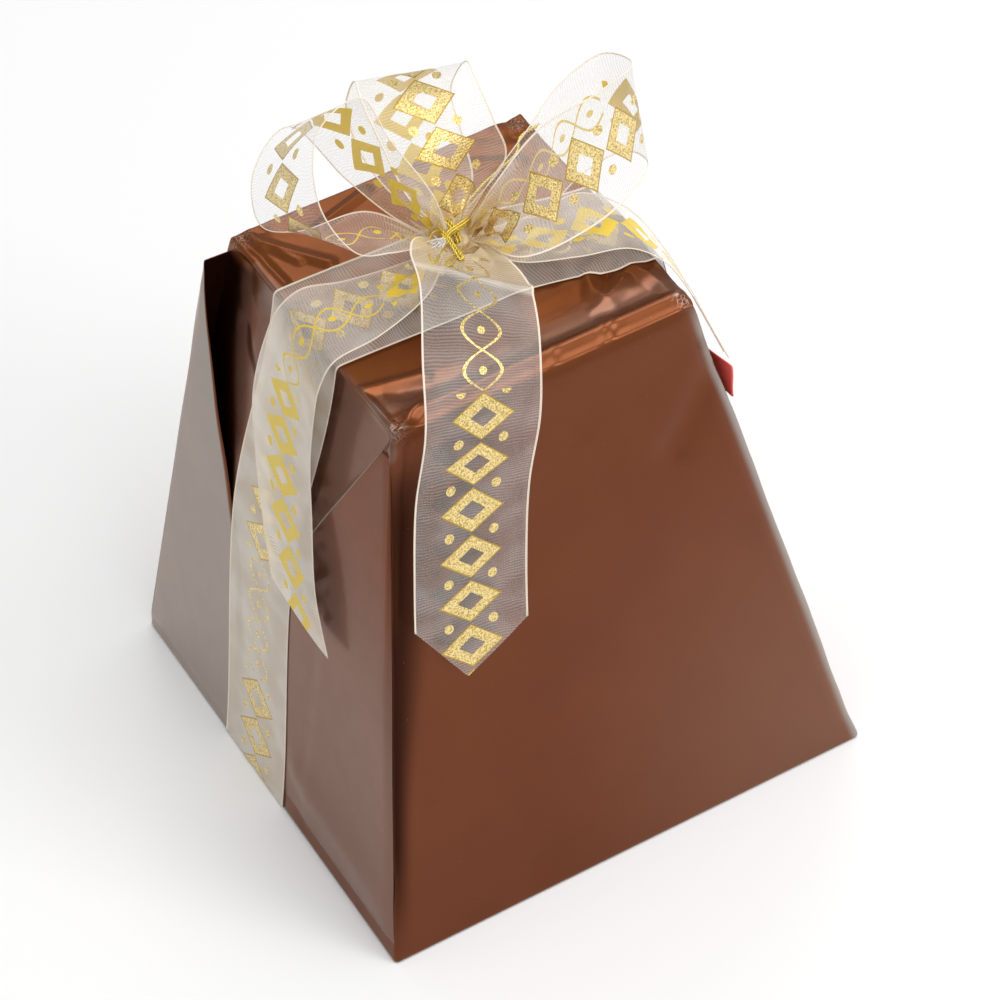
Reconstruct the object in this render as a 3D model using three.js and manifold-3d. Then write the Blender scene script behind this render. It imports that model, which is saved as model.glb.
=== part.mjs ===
// A gift-wrapped pandoro: a tall star cake in its truncated-pyramid box, wrapped in a sheet of
// brown satin film, banded with sheer ribbon and closed with a ribbon bow, a gold cord and a tag.
//
// Frame: millimetres, +Z up, origin at the centre of the flat base. The ribbon band runs along X.
// The -Y face and the -X face are the two that are seen from the front.

import * as THREE from 'three';
import { mergeVertices } from 'three/addons/utils/BufferGeometryUtils.js';
import Module from 'manifold-3d';

const wasm = await Module();
wasm.setup();

// ---------------------------------------------------------------- driving dimensions
const BASE = 220; // side of the square base
const TOP = 130; // side of the square top
const HEIGHT = 235; // height of the wrapped box
const EDGE_RADIUS = 2; // softness of the film over the box's edges

const RIBBON_WIDTH = 50;
const RIBBON_THICKNESS = 0.6;
const BAND_GAP = 0.4; // air between the film and the band
const BAND_TAG_GAP = 1.9; // the same over the tag, on the +X face
const CLEARANCE = 0.35; // air between two pieces that touch
const CHANNEL_DEPTH = 1.6; // how far the foot gives way to the ribbon under the pack
const CHANNEL_WIDTH = RIBBON_WIDTH + 26; // wide enough for the ribbon's slant there
const CHANNEL_MIDDLE = 4.5; // its middle along Y

const KNOT_CENTRE = new THREE.Vector3(-3, -2, 249.4);
const KNOT_RADII = new THREE.Vector3(10, 8.5, 12.8);
const KNOT_PINCH = 0.16; // how far the cord draws the knot in, as a share of its girth
const CORD_RADIUS = 0.75;

const TAG_THICKNESS = 0.8;
const TAG_HEIGHTS = [181, 198]; // its lower and upper edge, in Z
const TAG_ENDS = [-31, -70]; // its end under the band and its free end, in Y
const TAG_CURL = [1.7, 4.6]; // how far its free end stands off, at the lower and upper edge

const SLOPE = (BASE - TOP) / 2 / HEIGHT; // how far a face leans in for each millimetre of height
const halfSide = (z) => BASE / 2 - SLOPE * z;

// ---------------------------------------------------------------- small helpers
const vec = (x, y, z) => new THREE.Vector3(x, y, z);
const smooth = (low, high, value) => THREE.MathUtils.smoothstep(value, low, high);
const bump = (value, centre, width) => Math.exp(-(((value - centre) / width) ** 2));

// Height of a ridge that runs straight from one point to another and fades over its width.
function ridge(px, py, from, to, width) {
  const along = [to[0] - from[0], to[1] - from[1]];
  const length2 = along[0] ** 2 + along[1] ** 2;
  const share = ((px - from[0]) * along[0] + (py - from[1]) * along[1]) / length2;
  const t = THREE.MathUtils.clamp(share, 0, 1);
  const distance = Math.hypot(px - from[0] - t * along[0], py - from[1] - t * along[1]);
  return Math.exp(-((distance / width) ** 2));
}

function geometryFrom(positions, indices) {
  const geometry = new THREE.BufferGeometry();
  geometry.setAttribute('position', new THREE.Float32BufferAttribute(positions, 3));
  geometry.setIndex(indices);
  return geometry;
}

function weld(geometry) {
  const bare = geometry.clone();
  bare.deleteAttribute('normal');
  bare.deleteAttribute('uv');
  return mergeVertices(bare, 1e-4);
}

function toSolid(geometry) {
  const welded = weld(geometry);
  const mesh = new wasm.Mesh({
    numProp: 3,
    vertProperties: new Float32Array(welded.attributes.position.array),
    triVerts: new Uint32Array(welded.index.array),
  });
  return new wasm.Manifold(mesh);
}

function toGeometry(solid) {
  const mesh = solid.getMesh();
  return geometryFrom(Array.from(mesh.vertProperties), Array.from(mesh.triVerts));
}

// The largest piece that is left of a solid once others have been cut from it.
function trimmed(geometry, cutters) {
  let solid = toSolid(geometry);
  for (const cutter of cutters) solid = solid.subtract(cutter);
  const pieces = solid.decompose();
  pieces.sort((a, b) => b.volume() - a.volume());
  return toGeometry(pieces[0]);
}

// A sheet of even thickness round a grid of points: rows run along it, columns across it.
function sheetSolid(grid, thickness) {
  const rows = grid.length;
  const columns = grid[0].length;
  const positions = [];
  const normalAt = (i, j) => {
    const along = grid[Math.min(i + 1, rows - 1)][j].clone().sub(grid[Math.max(i - 1, 0)][j]);
    const across = grid[i][Math.min(j + 1, columns - 1)].clone().sub(grid[i][Math.max(j - 1, 0)]);
    return along.cross(across).normalize();
  };
  for (const side of [1, -1]) {
    for (let i = 0; i < rows; i++) {
      for (let j = 0; j < columns; j++) {
        const point = grid[i][j].clone().addScaledVector(normalAt(i, j), (side * thickness) / 2);
        positions.push(point.x, point.y, point.z);
      }
    }
  }
  const front = (i, j) => i * columns + j;
  const back = (i, j) => rows * columns + i * columns + j;
  const indices = [];
  const quad = (a, b, c, d) => indices.push(a, b, c, a, c, d);
  for (let i = 0; i < rows - 1; i++) {
    for (let j = 0; j < columns - 1; j++) {
      quad(front(i, j), front(i + 1, j), front(i + 1, j + 1), front(i, j + 1));
      quad(back(i, j), back(i, j + 1), back(i + 1, j + 1), back(i + 1, j));
    }
    quad(front(i, 0), back(i, 0), back(i + 1, 0), front(i + 1, 0));
    const last = columns - 1;
    quad(front(i, last), front(i + 1, last), back(i + 1, last), back(i, last));
  }
  for (let j = 0; j < columns - 1; j++) {
    quad(front(0, j), front(0, j + 1), back(0, j + 1), back(0, j));
    const last = rows - 1;
    quad(front(last, j), back(last, j), back(last, j + 1), front(last, j + 1));
  }
  return geometryFrom(positions, indices);
}

// A tube of round section along a smooth curve through the points of its route.
function cordTube(route, radius, steps, sides = 8) {
  const curve = new THREE.CatmullRomCurve3(route.map((p) => vec(...p)), false, 'centripetal');
  const section = new THREE.Shape();
  for (let k = 0; k < sides; k++) {
    const angle = (k / sides) * 2 * Math.PI;
    const method = k === 0 ? 'moveTo' : 'lineTo';
    section[method](radius * Math.cos(angle), radius * Math.sin(angle));
  }
  return new THREE.ExtrudeGeometry(section, { steps, extrudePath: curve, bevelEnabled: false });
}

// ---------------------------------------------------------------- the wrapped box
// Folds and dents of the film. Each runs straight between two places on its face, stands out by
// its height and fades over its width. A dent has a height below nought.
const TOP_FOLDS = [
  { from: [36, -50], to: [52, -49], height: 3, width: 4.5 }, // the crumple at the front right
  { from: [-61, -44], to: [-36, -41], height: 2.2, width: 4 }, // slack film at the front left
  { from: [-60, -62], to: [-50, -44], height: 2, width: 4 }, // the pleat at the near corner
  { from: [-50, 56], to: [-10, 56], height: 1.5, width: 5 }, // the fold along the rear edge
];
const WELT = { y: -60, height: 1.6, width: 3.5 }; // the film doubled along the front top edge
const VALLEY = { y: -51, depth: 1.2, width: 5 }; // the hollow behind it
const FRONT_BOW = { x: 20, z: 90, height: 0.6, width: 60 };
const FRONT_SUNKEN = { z: 208, depth: 1, width: 12 }; // the hollow below the top edge
const FRONT_DENT = { from: [66, 197], to: [48, 176], height: -1.4, width: 7 };
const FOOT_RIDGE = { from: [-14, 30], to: [-90, 24], height: 1.4, width: 9 };
const PANEL_DEPTH = 1.6; // how far the end panel lies behind the flaps over it
const FLAP_EDGE = { y: -61, z: 225, steepness: 1.67 }; // the front flap's edge, from its top

const folds = (list, u, v) =>
  list.reduce((sum, fold) => sum + fold.height * ridge(u, v, fold.from, fold.to, fold.width), 0);

// Film folded over the top: a raised welt along the front edge, a valley behind it, slack creases
// near the corners, and nothing under the band.
function topRelief(x, y) {
  const welt = WELT.height * bump(y, WELT.y, WELT.width) * smooth(-66, -50, x) * (1 - smooth(58, 66, x));
  const valley = VALLEY.depth * bump(y, VALLEY.y, VALLEY.width) * smooth(-60, -40, x);
  return welt - valley + folds(TOP_FOLDS, x, y);
}

// The front face bows a little, sinks below the top edge and has one soft dent at the right.
function frontRelief(x, z) {
  const { width } = FRONT_BOW;
  const bow = FRONT_BOW.height * bump(z, FRONT_BOW.z, width) * bump(x, FRONT_BOW.x, width);
  const sunken = FRONT_SUNKEN.depth * bump(z, FRONT_SUNKEN.z, FRONT_SUNKEN.width);
  return bow - sunken + folds([FRONT_DENT], x, z);
}

// The end face: a panel folded down from the top lies under two side flaps. The front flap's
// edge runs from the near top corner down to the band, and a soft ridge crosses the foot.
function endRelief(y, z) {
  const flapEdgeZ = FLAP_EDGE.z - (y - FLAP_EDGE.y) * FLAP_EDGE.steepness;
  const underFlaps = smooth(-3, 3, z - flapEdgeZ) * smooth(-70, -55, y) * (1 - smooth(46, 60, y));
  const footRidge = folds([FOOT_RIDGE], y, z) * (1 - smooth(-24, -12, y));
  return footRidge - PANEL_DEPTH * underFlaps;
}

// The loose film at the rear-left edge stands further out for each millimetre of height. Up to
// FLAP_LOW it is one with the end face, and above that it is a free flap.
const APEX = vec(-77, 64.5, 229);
const FLAP_LOW = 112;
const FLAP_FOOT = 96; // where the free flap begins, inside the swelling of the face
const FLAP_LEAN = 0.0468;
const FLAP_THICKNESS = 1.2;
const FLAP_FREE_EDGE = [
  [-89, 45, FLAP_FOOT], [-88.6, 46, 114], [-86, 51, 135], [-84, 57, 160], [-81, 62, 192], [-78, 63, 229],
];
const cornerBulge = (z) => FLAP_LEAN * z * (1 - smooth(FLAP_LOW - 4, FLAP_LOW + 14, z));

function wrappedBox() {
  const cells = 18;
  const layers = 20;
  const geometry = weld(new THREE.BoxGeometry(2, 2, 2, cells, cells, layers));
  const place = geometry.attributes.position;
  const half = BASE / 2;
  const crowd = (s) => 0.45 * s + 0.55 * Math.sin((Math.PI / 2) * s); // closer towards the edges
  for (let i = 0; i < place.count; i++) {
    const raw = [crowd(place.getX(i)) * half, crowd(place.getY(i)) * half, crowd(place.getZ(i)) * HEIGHT / 2];
    const core = vec(half - EDGE_RADIUS, half - EDGE_RADIUS, HEIGHT / 2 - EDGE_RADIUS);
    const point = vec(...raw);
    const inner = point.clone().clamp(core.clone().negate(), core);
    const outward = point.sub(inner).normalize();
    const rounded = inner.addScaledVector(outward, EDGE_RADIUS);
    let z = rounded.z + HEIGHT / 2;
    const taper = halfSide(z) / half;
    let x = rounded.x * taper;
    let y = rounded.y * taper;
    const side = halfSide(z);
    const onEnd = smooth(0.9, 0.98, -x / side);
    const onFront = smooth(0.9, 0.98, -y / side);
    const onTop = smooth(HEIGHT - 3, HEIGHT - 0.5, z);
    const clearOfFoot = smooth(0, 14, z);
    const nearCorner = smooth(46, side, y) * onEnd;
    x -= onEnd * (1 - onTop) * clearOfFoot * endRelief(y, z) + nearCorner * cornerBulge(z);
    y -= onFront * (1 - onTop) * clearOfFoot * frontRelief(x, z);
    z += onTop * topRelief(x, y);
    place.setXYZ(i, x, y, z);
  }
  return geometry;
}

// The rear-left flap: film that comes round the rear-left edge and stands off the end face, with
// a free edge that closes on the face half-way down. Its web joins it to the edge of the box.
function rearFlap() {
  const rows = 14;
  const freeEdge = new THREE.CatmullRomCurve3(FLAP_FREE_EDGE.map((p) => vec(...p)), false, 'centripetal');
  const grid = [];
  for (let i = 0; i <= rows; i++) {
    const t = i / rows;
    const free = freeEdge.getPoint(t);
    const z = free.z;
    const rise = z / APEX.z;
    const fold = vec(-BASE / 2 + (APEX.x + BASE / 2) * rise, BASE / 2 + (APEX.y - BASE / 2) * rise, z);
    const side = halfSide(z);
    const root = vec(-side + 4, side - 2.5, z);
    const web = root.clone().lerp(fold, 0.6);
    const sheet = [0.04, 0.35, 0.7, 1].map((s) => fold.clone().lerp(free, s));
    grid.push([root, web, fold, ...sheet.slice(1)]);
  }
  return sheetSolid(grid, FLAP_THICKNESS);
}

// A shallow channel across the foot, where the film gives way to the ribbon under the pack.
function bandChannel() {
  const channel = new THREE.BoxGeometry(BASE + 20, CHANNEL_WIDTH, 2 * CHANNEL_DEPTH);
  channel.translate(0, CHANNEL_MIDDLE, 0);
  return toSolid(channel);
}

function wrappedPack() {
  const whole = toSolid(wrappedBox()).add(toSolid(rearFlap())).subtract(bandChannel());
  return toGeometry(whole.decompose().sort((a, b) => b.volume() - a.volume())[0]);
}

// ---------------------------------------------------------------- the band
// Where the middle of the band lies across the pack, at each bend and half-way up its sides:
// a length round the pack from the -X foot, as a share, and the place along Y.
const BAND_SWAY = [[0, 11], [0.14, 20], [0.29, 2], [0.37, 0], [0.45, -13], [0.6, -8], [0.73, -2], [1, 11]];

const BAND_RUN_STEPS = 12;
const BAND_BEND_STEPS = 4;
const BAND_BEND = 2.4; // how far from a corner of the pack the band begins to bend

function bandSway(share) {
  for (let k = 1; k < BAND_SWAY.length; k++) {
    const [from, low] = BAND_SWAY[k - 1];
    const [to, high] = BAND_SWAY[k];
    if (share <= to) return THREE.MathUtils.lerp(low, high, smooth(from, to, share));
  }
  return BAND_SWAY[0][1];
}

// The band's path round the pack, in X and Z: four straight runs joined by small arcs. The offset
// is outwards from the pack, so it lifts the path on top and lowers it under the foot.
function bandPath(offset) {
  const up = Math.atan2(HEIGHT, (BASE - TOP) / 2);
  const foot = CLEARANCE + RIBBON_THICKNESS - offset;
  const left = -BASE / 2 - (BAND_GAP + offset) / Math.sin(up);
  const right = BASE / 2 + (BAND_TAG_GAP + offset) / Math.sin(up);
  const roof = HEIGHT + BAND_GAP + offset;
  const corners = [
    [left + SLOPE * foot, foot],
    [left + SLOPE * roof, roof],
    [right - SLOPE * roof, roof],
    [right - SLOPE * foot, foot],
  ].map(([x, z]) => new THREE.Vector2(x, z));
  const path = new THREE.Path();
  corners.forEach((corner, k) => {
    const before = corners[(k + 3) % 4].clone().sub(corner).setLength(BAND_BEND).add(corner);
    const after = corners[(k + 1) % 4].clone().sub(corner).setLength(BAND_BEND).add(corner);
    if (k === 0) path.moveTo(before.x, before.y);
    else path.lineTo(before.x, before.y);
    path.quadraticCurveTo(corner.x, corner.y, after.x, after.y);
  });
  path.closePath();
  return path;
}

function ribbonBand() {
  const inner = bandPath(0);
  const outer = bandPath(RIBBON_THICKNESS);
  const length = inner.getLength();
  const positions = [];
  let travelled = 0;
  const addStation = (curve, twin, t) => {
    const low = curve.getPoint(t);
    const high = twin.getPoint(t);
    const middle = bandSway((travelled + t * curve.getLength()) / length);
    const left = middle + RIBBON_WIDTH / 2;
    const right = middle - RIBBON_WIDTH / 2;
    positions.push(low.x, left, low.y, high.x, left, high.y, high.x, right, high.y, low.x, right, low.y);
  };
  inner.curves.forEach((curve, k) => {
    const steps = curve.isLineCurve ? BAND_RUN_STEPS : BAND_BEND_STEPS;
    for (let step = 0; step < steps; step++) addStation(curve, outer.curves[k], step / steps);
    travelled += curve.getLength();
  });
  const indices = [];
  const count = positions.length / 12;
  for (let i = 0; i < count; i++) {
    const next = (i + 1) % count;
    for (let k = 0; k < 4; k++) {
      const a = i * 4 + k;
      const b = i * 4 + ((k + 1) % 4);
      const c = next * 4 + ((k + 1) % 4);
      const d = next * 4 + k;
      indices.push(a, b, c, a, c, d);
    }
  }
  return geometryFrom(positions, indices);
}

// ---------------------------------------------------------------- the bow
// Each ribbon of the bow is given by its two edges: pairs of points that lie across the ribbon
// from each other, in order from the knot outwards.
const LOOP_LEFT = [
  [[-6, -7, 260], [-7, 1, 252]],
  [[-14, -12, 289], [-19, 16, 260]],
  [[-22, 2, 308], [-28, 32, 270]],
  [[-25, 17, 319], [-40, 53, 287]],
  [[-46, 12, 316], [-60, 45, 279]],
  [[-56, -4, 298], [-65, 33, 265]],
  [[-48, -13, 277], [-50, 33, 254]],
  [[-32, -10, 266], [-23, 28, 254]],
  [[-8, -6, 255], [-7, 4, 247]],
];
const LOOP_CENTRE = [
  [[-5, -2, 258], [4, 1, 257]],
  [[-16, 4, 275], [30, 12, 268]],
  [[-19, 15, 292], [29, 18, 282]],
  [[-20, 28, 307], [29, 31, 294]],
  [[-17, 39, 308], [31, 41, 294]],
  [[-20, 43, 293], [26, 46, 279]],
  [[-20, 33, 277], [24, 36, 265]],
  [[-16, 19, 266], [20, 22, 256]],
  [[-5, 2, 254], [4, 2, 253]],
];
const LOOP_RIGHT = [
  [[4, -5, 259], [5, -6, 250]],
  [[12, -12, 280], [15, -24, 251]],
  [[32, -12, 297], [45, -25, 252]],
  [[59, -13, 304], [67, -19, 255]],
  [[76, -7, 305], [80, -8, 255]],
  [[71, 5, 304], [77, 3, 254]],
  [[50, 3, 300], [58, 4, 251]],
  [[31, -6, 294], [36, -2, 246]],
  [[15, -7, 280], [23, -3, 250]],
  [[4, -2, 258], [5, -1, 251]],
];
const TAIL_FRONT = [
  [[-6, -5, 252], [4, -5, 249]],
  [[-21, -9, 267], [10, -18, 249]],
  [[-29, -20, 273], [12, -32, 247]],
  [[-35, -38, 273], [6, -50, 247]],
  [[-47, -59, 257], [-1, -64, 239]],
  [[-55, -72, 235], [-7, -72, 220]],
  [[-64, -76, 205], [-16, -76, 192]],
  [[-72, -84, 170], [-23, -82, 158]],
  [[-79, -92, 128], [-30, -91, 116]],
];
const TAIL_LEFT = [
  [[-8, 0, 246], [-9, -8, 248]],
  [[-23, 9, 240], [-25, -23, 251]],
  [[-43, 13, 240], [-51, -32, 251]],
  [[-59, 16, 242], [-69, -30, 246]],
  [[-68, 17, 237], [-75, -28, 235]],
  [[-74, 21, 221], [-78, -25, 217]],
  [[-80, 27, 190], [-81, -22, 190]],
  [[-83, 26, 161], [-84, -24, 166]],
  [[-90, 11, 120], [-91, -34, 137]],
  [[-94, -2, 92], [-94, -45, 112]],
];
const TAIL_REAR = [
  [[4, 2, 245], [3, -5, 248]],
  [[17, 8, 239], [13, -23, 248]],
  [[38, 7, 238], [33, -35, 250]],
  [[56, 4, 242], [52, -42, 250]],
  [[71, -5, 234], [63, -49, 242]],
  [[84, -14, 210], [69, -57, 229]],
  [[89, -26, 190], [73, -66, 214]],
  [[92, -40, 174], [75, -75, 204]],
];

// Each tail is cut off at an angle: what share of its length is left at a place across it.
const cutFront = (s) => (s < 0.45 ? 0.925 + (0.075 * s) / 0.45 : 1 - (0.055 * (s - 0.45)) / 0.55);
const cutLeft = (s) => 0.93 + 0.07 * s;
const cutRear = (s) => 1 - 0.03 * s;
const cutNone = () => 1;

function ribbonGrid(stations, rows, columns, cut = cutNone) {
  const edges = [0, 1].map((side) => {
    const points = stations.map((pair) => vec(...pair[side]));
    return new THREE.CatmullRomCurve3(points, false, 'centripetal');
  });
  const grid = [];
  for (let i = 0; i <= rows; i++) {
    const row = [];
    for (let j = 0; j <= columns; j++) {
      const s = j / columns;
      const t = (i / rows) * cut(s);
      row.push(edges[0].getPoint(t).lerp(edges[1].getPoint(t), s));
    }
    grid.push(row);
  }
  return grid;
}

const bowRibbon = (stations, rows, columns, cut) =>
  sheetSolid(ribbonGrid(stations, rows, columns, cut), RIBBON_THICKNESS);

// The gathered middle of the bow, an upright lump pinched where the cord goes round it.
function bowKnot(grow = 0) {
  const knot = new THREE.SphereGeometry(1, 28, 18);
  const place = knot.attributes.position;
  for (let i = 0; i < place.count; i++) {
    const [x, z, y] = [place.getX(i), place.getY(i), -place.getZ(i)];
    const pleats = 1 + 0.04 * Math.cos(7 * Math.atan2(y, z)) * Math.min(1, 4 * Math.hypot(y, z));
    const girth = pleats * (1 - KNOT_PINCH * bump(x, 0, 0.35));
    place.setXYZ(
      i,
      KNOT_CENTRE.x + x * (KNOT_RADII.x + grow),
      KNOT_CENTRE.y + y * (girth * KNOT_RADII.y + grow),
      KNOT_CENTRE.z + z * (girth * KNOT_RADII.z + grow),
    );
  }
  return knot;
}

// The gold cord: two turns side by side round the waist of the knot, and the tied bundle of
// strands that crosses them on the upper front.
const BUNDLE_ROUTE = [[4, -6, 260.2], [-3, -9, 260.6], [-8, -9.8, 260.2], [-13, -9.5, 258.4]];
const BUNDLE_RADIUS = 1.4;

function cordTie(grow = 0) {
  const radius = CORD_RADIUS + grow;
  const across = KNOT_RADII.y * (1.04 - KNOT_PINCH) + CLEARANCE + CORD_RADIUS;
  const tall = KNOT_RADII.z * (1.04 - KNOT_PINCH) + CLEARANCE + CORD_RADIUS;
  const turns = [-1, 1].map((side) => {
    const turn = new THREE.TorusGeometry(2, 1, 8, 36);
    const place = turn.attributes.position;
    for (let i = 0; i < place.count; i++) {
      const angle = Math.atan2(place.getY(i), place.getX(i));
      const off = (Math.hypot(place.getX(i), place.getY(i)) - 2) * radius;
      place.setXYZ(
        i,
        KNOT_CENTRE.x + side * CORD_RADIUS * 0.9 + place.getZ(i) * radius,
        KNOT_CENTRE.y + (across + off) * Math.cos(angle),
        KNOT_CENTRE.z + (tall + off) * Math.sin(angle),
      );
    }
    return toSolid(turn);
  });
  const bundle = toSolid(cordTube(BUNDLE_ROUTE, BUNDLE_RADIUS + grow, 10));
  return turns[0].add(turns[1]).add(bundle);
}

// The loose end of the gold cord: down behind the knot and across the top to the rear corner.
const CORD_END_ROUTE = [
  [-2, 9, 250], [-1, 10.8, 247.6], [1, 13, 245], [4, 15.8, 242.2], [8, 19.2, 239.8], [13, 23, 238.3],
  [19, 27.4, 237.5], [26, 31.6, 237.4], [33, 35.4, 237.1], [40, 38.4, 236.8], [46, 41, 236.6],
  [50, 43, 236.5], [53, 46, 236.5], [55.5, 49.8, 236.5], [59, 52, 236.5], [64, 53.2, 236.5],
];

// ---------------------------------------------------------------- the tag
function redTag() {
  const rows = 8;
  const columns = 6;
  const grid = [];
  for (let i = 0; i <= rows; i++) {
    const z = THREE.MathUtils.lerp(...TAG_HEIGHTS, i / rows);
    const curl = THREE.MathUtils.lerp(...TAG_CURL, smooth(...TAG_HEIGHTS, z));
    const row = [];
    for (let j = 0; j <= columns; j++) {
      const s = j / columns;
      const y = THREE.MathUtils.lerp(...TAG_ENDS, s);
      const lift = BAND_GAP + TAG_THICKNESS / 2 + curl * s ** 2;
      row.push(vec(halfSide(z) + lift, y, z));
    }
    grid.push(row);
  }
  return sheetSolid(grid, TAG_THICKNESS);
}

// ---------------------------------------------------------------- the object
const film = new THREE.MeshStandardMaterial({ color: 0x6b4230, roughness: 0.4, metalness: 0.6 });
const organza = new THREE.MeshStandardMaterial({ color: 0xe6dac6, roughness: 0.6, metalness: 0.0 });
const goldCord = new THREE.MeshStandardMaterial({ color: 0xd9b64a, roughness: 0.35, metalness: 0.8 });
const redCard = new THREE.MeshStandardMaterial({ color: 0xd8453c, roughness: 0.5, metalness: 0.0 });

const pandoro = new THREE.Group();
const addPiece = (name, geometry, material) => {
  const mesh = new THREE.Mesh(geometry, material);
  mesh.name = name;
  pandoro.add(mesh);
};

const aroundKnot = [toSolid(bowKnot(CLEARANCE)), cordTie(CLEARANCE)];

addPiece('wrapped_pack', wrappedPack(), film);
addPiece('ribbon_band', ribbonBand(), organza);
addPiece('bow_loop_left', trimmed(bowRibbon(LOOP_LEFT, 30, 2), aroundKnot), organza);
addPiece('bow_loop_centre', trimmed(bowRibbon(LOOP_CENTRE, 30, 2), aroundKnot), organza);
addPiece('bow_loop_right', trimmed(bowRibbon(LOOP_RIGHT, 32, 2), aroundKnot), organza);
addPiece('bow_tail_front', trimmed(bowRibbon(TAIL_FRONT, 22, 6, cutFront), aroundKnot), organza);
addPiece('bow_tail_left', trimmed(bowRibbon(TAIL_LEFT, 24, 4, cutLeft), aroundKnot), organza);
addPiece('bow_tail_rear', trimmed(bowRibbon(TAIL_REAR, 20, 4, cutRear), aroundKnot), organza);
addPiece('bow_knot', weld(bowKnot()), organza);
addPiece('gold_cord_tie', toGeometry(cordTie()), goldCord);
addPiece('gold_cord_end', weld(cordTube(CORD_END_ROUTE, CORD_RADIUS, 26)), goldCord);
addPiece('red_tag', redTag(), redCard);

export default pandoro;
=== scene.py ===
# %% [markdown]
# # A gift-wrapped pandoro
#
# A pandoro is a tall star-shaped sweet bread. It is sold in a box shaped like a pyramid with its
# top cut off. Here the box is wrapped in satin brown film, banded with sheer ribbon, and closed
# with a bow, a gold cord and a small red card. The solid model has the same sizes and places. This
# script adds the surfaces that the eye sees: film with its folds, woven ribbon, twisted cord.

import math

import bpy
import numpy as np
from mathutils import Matrix


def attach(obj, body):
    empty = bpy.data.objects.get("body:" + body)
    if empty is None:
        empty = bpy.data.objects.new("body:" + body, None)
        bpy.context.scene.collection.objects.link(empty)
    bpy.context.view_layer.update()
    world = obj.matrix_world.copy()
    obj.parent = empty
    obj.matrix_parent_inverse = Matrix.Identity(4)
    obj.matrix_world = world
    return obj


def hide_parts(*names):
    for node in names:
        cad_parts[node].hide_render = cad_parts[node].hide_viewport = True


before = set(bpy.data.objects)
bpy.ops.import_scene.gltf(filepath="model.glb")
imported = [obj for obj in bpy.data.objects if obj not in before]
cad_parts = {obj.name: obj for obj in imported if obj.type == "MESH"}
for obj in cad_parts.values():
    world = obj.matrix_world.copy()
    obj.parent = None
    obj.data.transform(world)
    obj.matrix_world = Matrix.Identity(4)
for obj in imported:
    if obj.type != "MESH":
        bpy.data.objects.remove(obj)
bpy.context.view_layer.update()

# %% [markdown]
# ## Sizes
#
# The few sizes that everything else follows from. They are millimetres, as a box maker would use.

# %% Driving sizes
MM = 0.001
BASE = 220.0        # side of the square foot
TOP = 130.0         # side of the square top
HEIGHT = 235.0      # height of the wrapped box
SLOPE = (BASE - TOP) / 2 / HEIGHT
EDGE_RADIUS = 2.0   # softness of the film over the edges of the box
RIBBON_WIDTH = 50.0
SELVEDGE = 0.24     # radius of the thicker thread along each edge of the ribbon
CORD_RADIUS = 0.75
CORD_PITCH = 3.4    # length in which the cord's strands turn once
SEED = 7
rng = np.random.default_rng(SEED)


def half_side(z):
    """Half the width of the box at a height: half the foot less the lean times the height."""
    return BASE / 2 - SLOPE * z


print("lean of a face: %.1f degrees" % math.degrees(math.atan(SLOPE)))

# %% [markdown]
# ## Helpers for shapes
#
# Every surface below is a grid of points worked out with numpy in one go. A row runs along the
# piece and a column across it. `cells` lists the faces of such a grid, and `make_mesh` turns
# points and faces into a mesh, with a UV map where the pattern has to follow the piece.


# %% Curves and steps
def unit(v):
    """Each vector divided by its own length."""
    return v / np.maximum(np.linalg.norm(v, axis=-1, keepdims=True), 1e-12)


def smooth(low, high, x):
    """A step from 0 to 1 between low and high, with flat ends: 3t^2 - 2t^3."""
    t = np.clip((x - low) / (high - low), 0, 1)
    return t * t * (3 - 2 * t)


def bump(x, centre, width):
    """A bell: e to the minus the squared distance from the centre, in widths."""
    return np.exp(-(((x - centre) / width) ** 2))


def off_line(x, y, start, end):
    """Distance of a point from the straight line between start and end."""
    line = np.subtract(end, start)
    t = np.clip(((x - start[0]) * line[0] + (y - start[1]) * line[1]) / (line @ line), 0, 1)
    return np.hypot(x - start[0] - t * line[0], y - start[1] - t * line[1])


def ridge(x, y, start, end, width):
    """A soft fold: a bell across the line from start to end."""
    return bump(off_line(x, y, start, end), 0, width)


def tent(x, y, start, end, width):
    """A sharp fold: 1 on the line from start to end, falling straight to 0 at the width."""
    return np.clip(1 - off_line(x, y, start, end) / width, 0, 1)


def curve(points, t):
    """A smooth line through the points (centripetal Catmull-Rom), at shares t of their number."""
    p = np.asarray(points, float)
    far = np.vstack([2 * p[0] - p[1], p, 2 * p[-1] - p[-2]])
    place = np.clip(t, 0, 1) * (len(p) - 1)
    i = np.minimum(place.astype(int), len(p) - 2)
    w = (place - i)[..., None]
    p0, p1, p2, p3 = (far[i + k] for k in range(4))
    pairs = ((p0, p1), (p1, p2), (p2, p3))
    d0, d1, d2 = (np.sqrt(np.linalg.norm(b - a, axis=-1, keepdims=True)) for a, b in pairs)
    m1 = ((p1 - p0) / d0 - (p2 - p0) / (d0 + d1) + (p2 - p1) / d1) * d1
    m2 = ((p2 - p1) / d1 - (p3 - p1) / (d1 + d2) + (p3 - p2) / d2) * d1
    return p1 + m1 * w + (3 * (p2 - p1) - 2 * m1 - m2) * w**2 + (2 * (p1 - p2) + m1 + m2) * w**3


def length_along(points):
    """Distance travelled to each point of a line."""
    steps = np.linalg.norm(np.diff(points, axis=0), axis=-1)
    return np.concatenate([[0], np.cumsum(steps)])


# %% Meshes
def cells(rows, columns, around=False, along=False):
    """The four corners of each cell of a grid, as point numbers. Around and along close the grid."""
    i = np.arange(rows if along else rows - 1)[:, None]
    j = np.arange(columns if around else columns - 1)[None, :]
    i2, j2 = (i + 1) % rows, (j + 1) % columns
    quads = [i * columns + j, i2 * columns + j, i2 * columns + j2, i * columns + j2]
    return np.stack(np.broadcast_arrays(*quads), -1).reshape(-1, 4)


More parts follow.
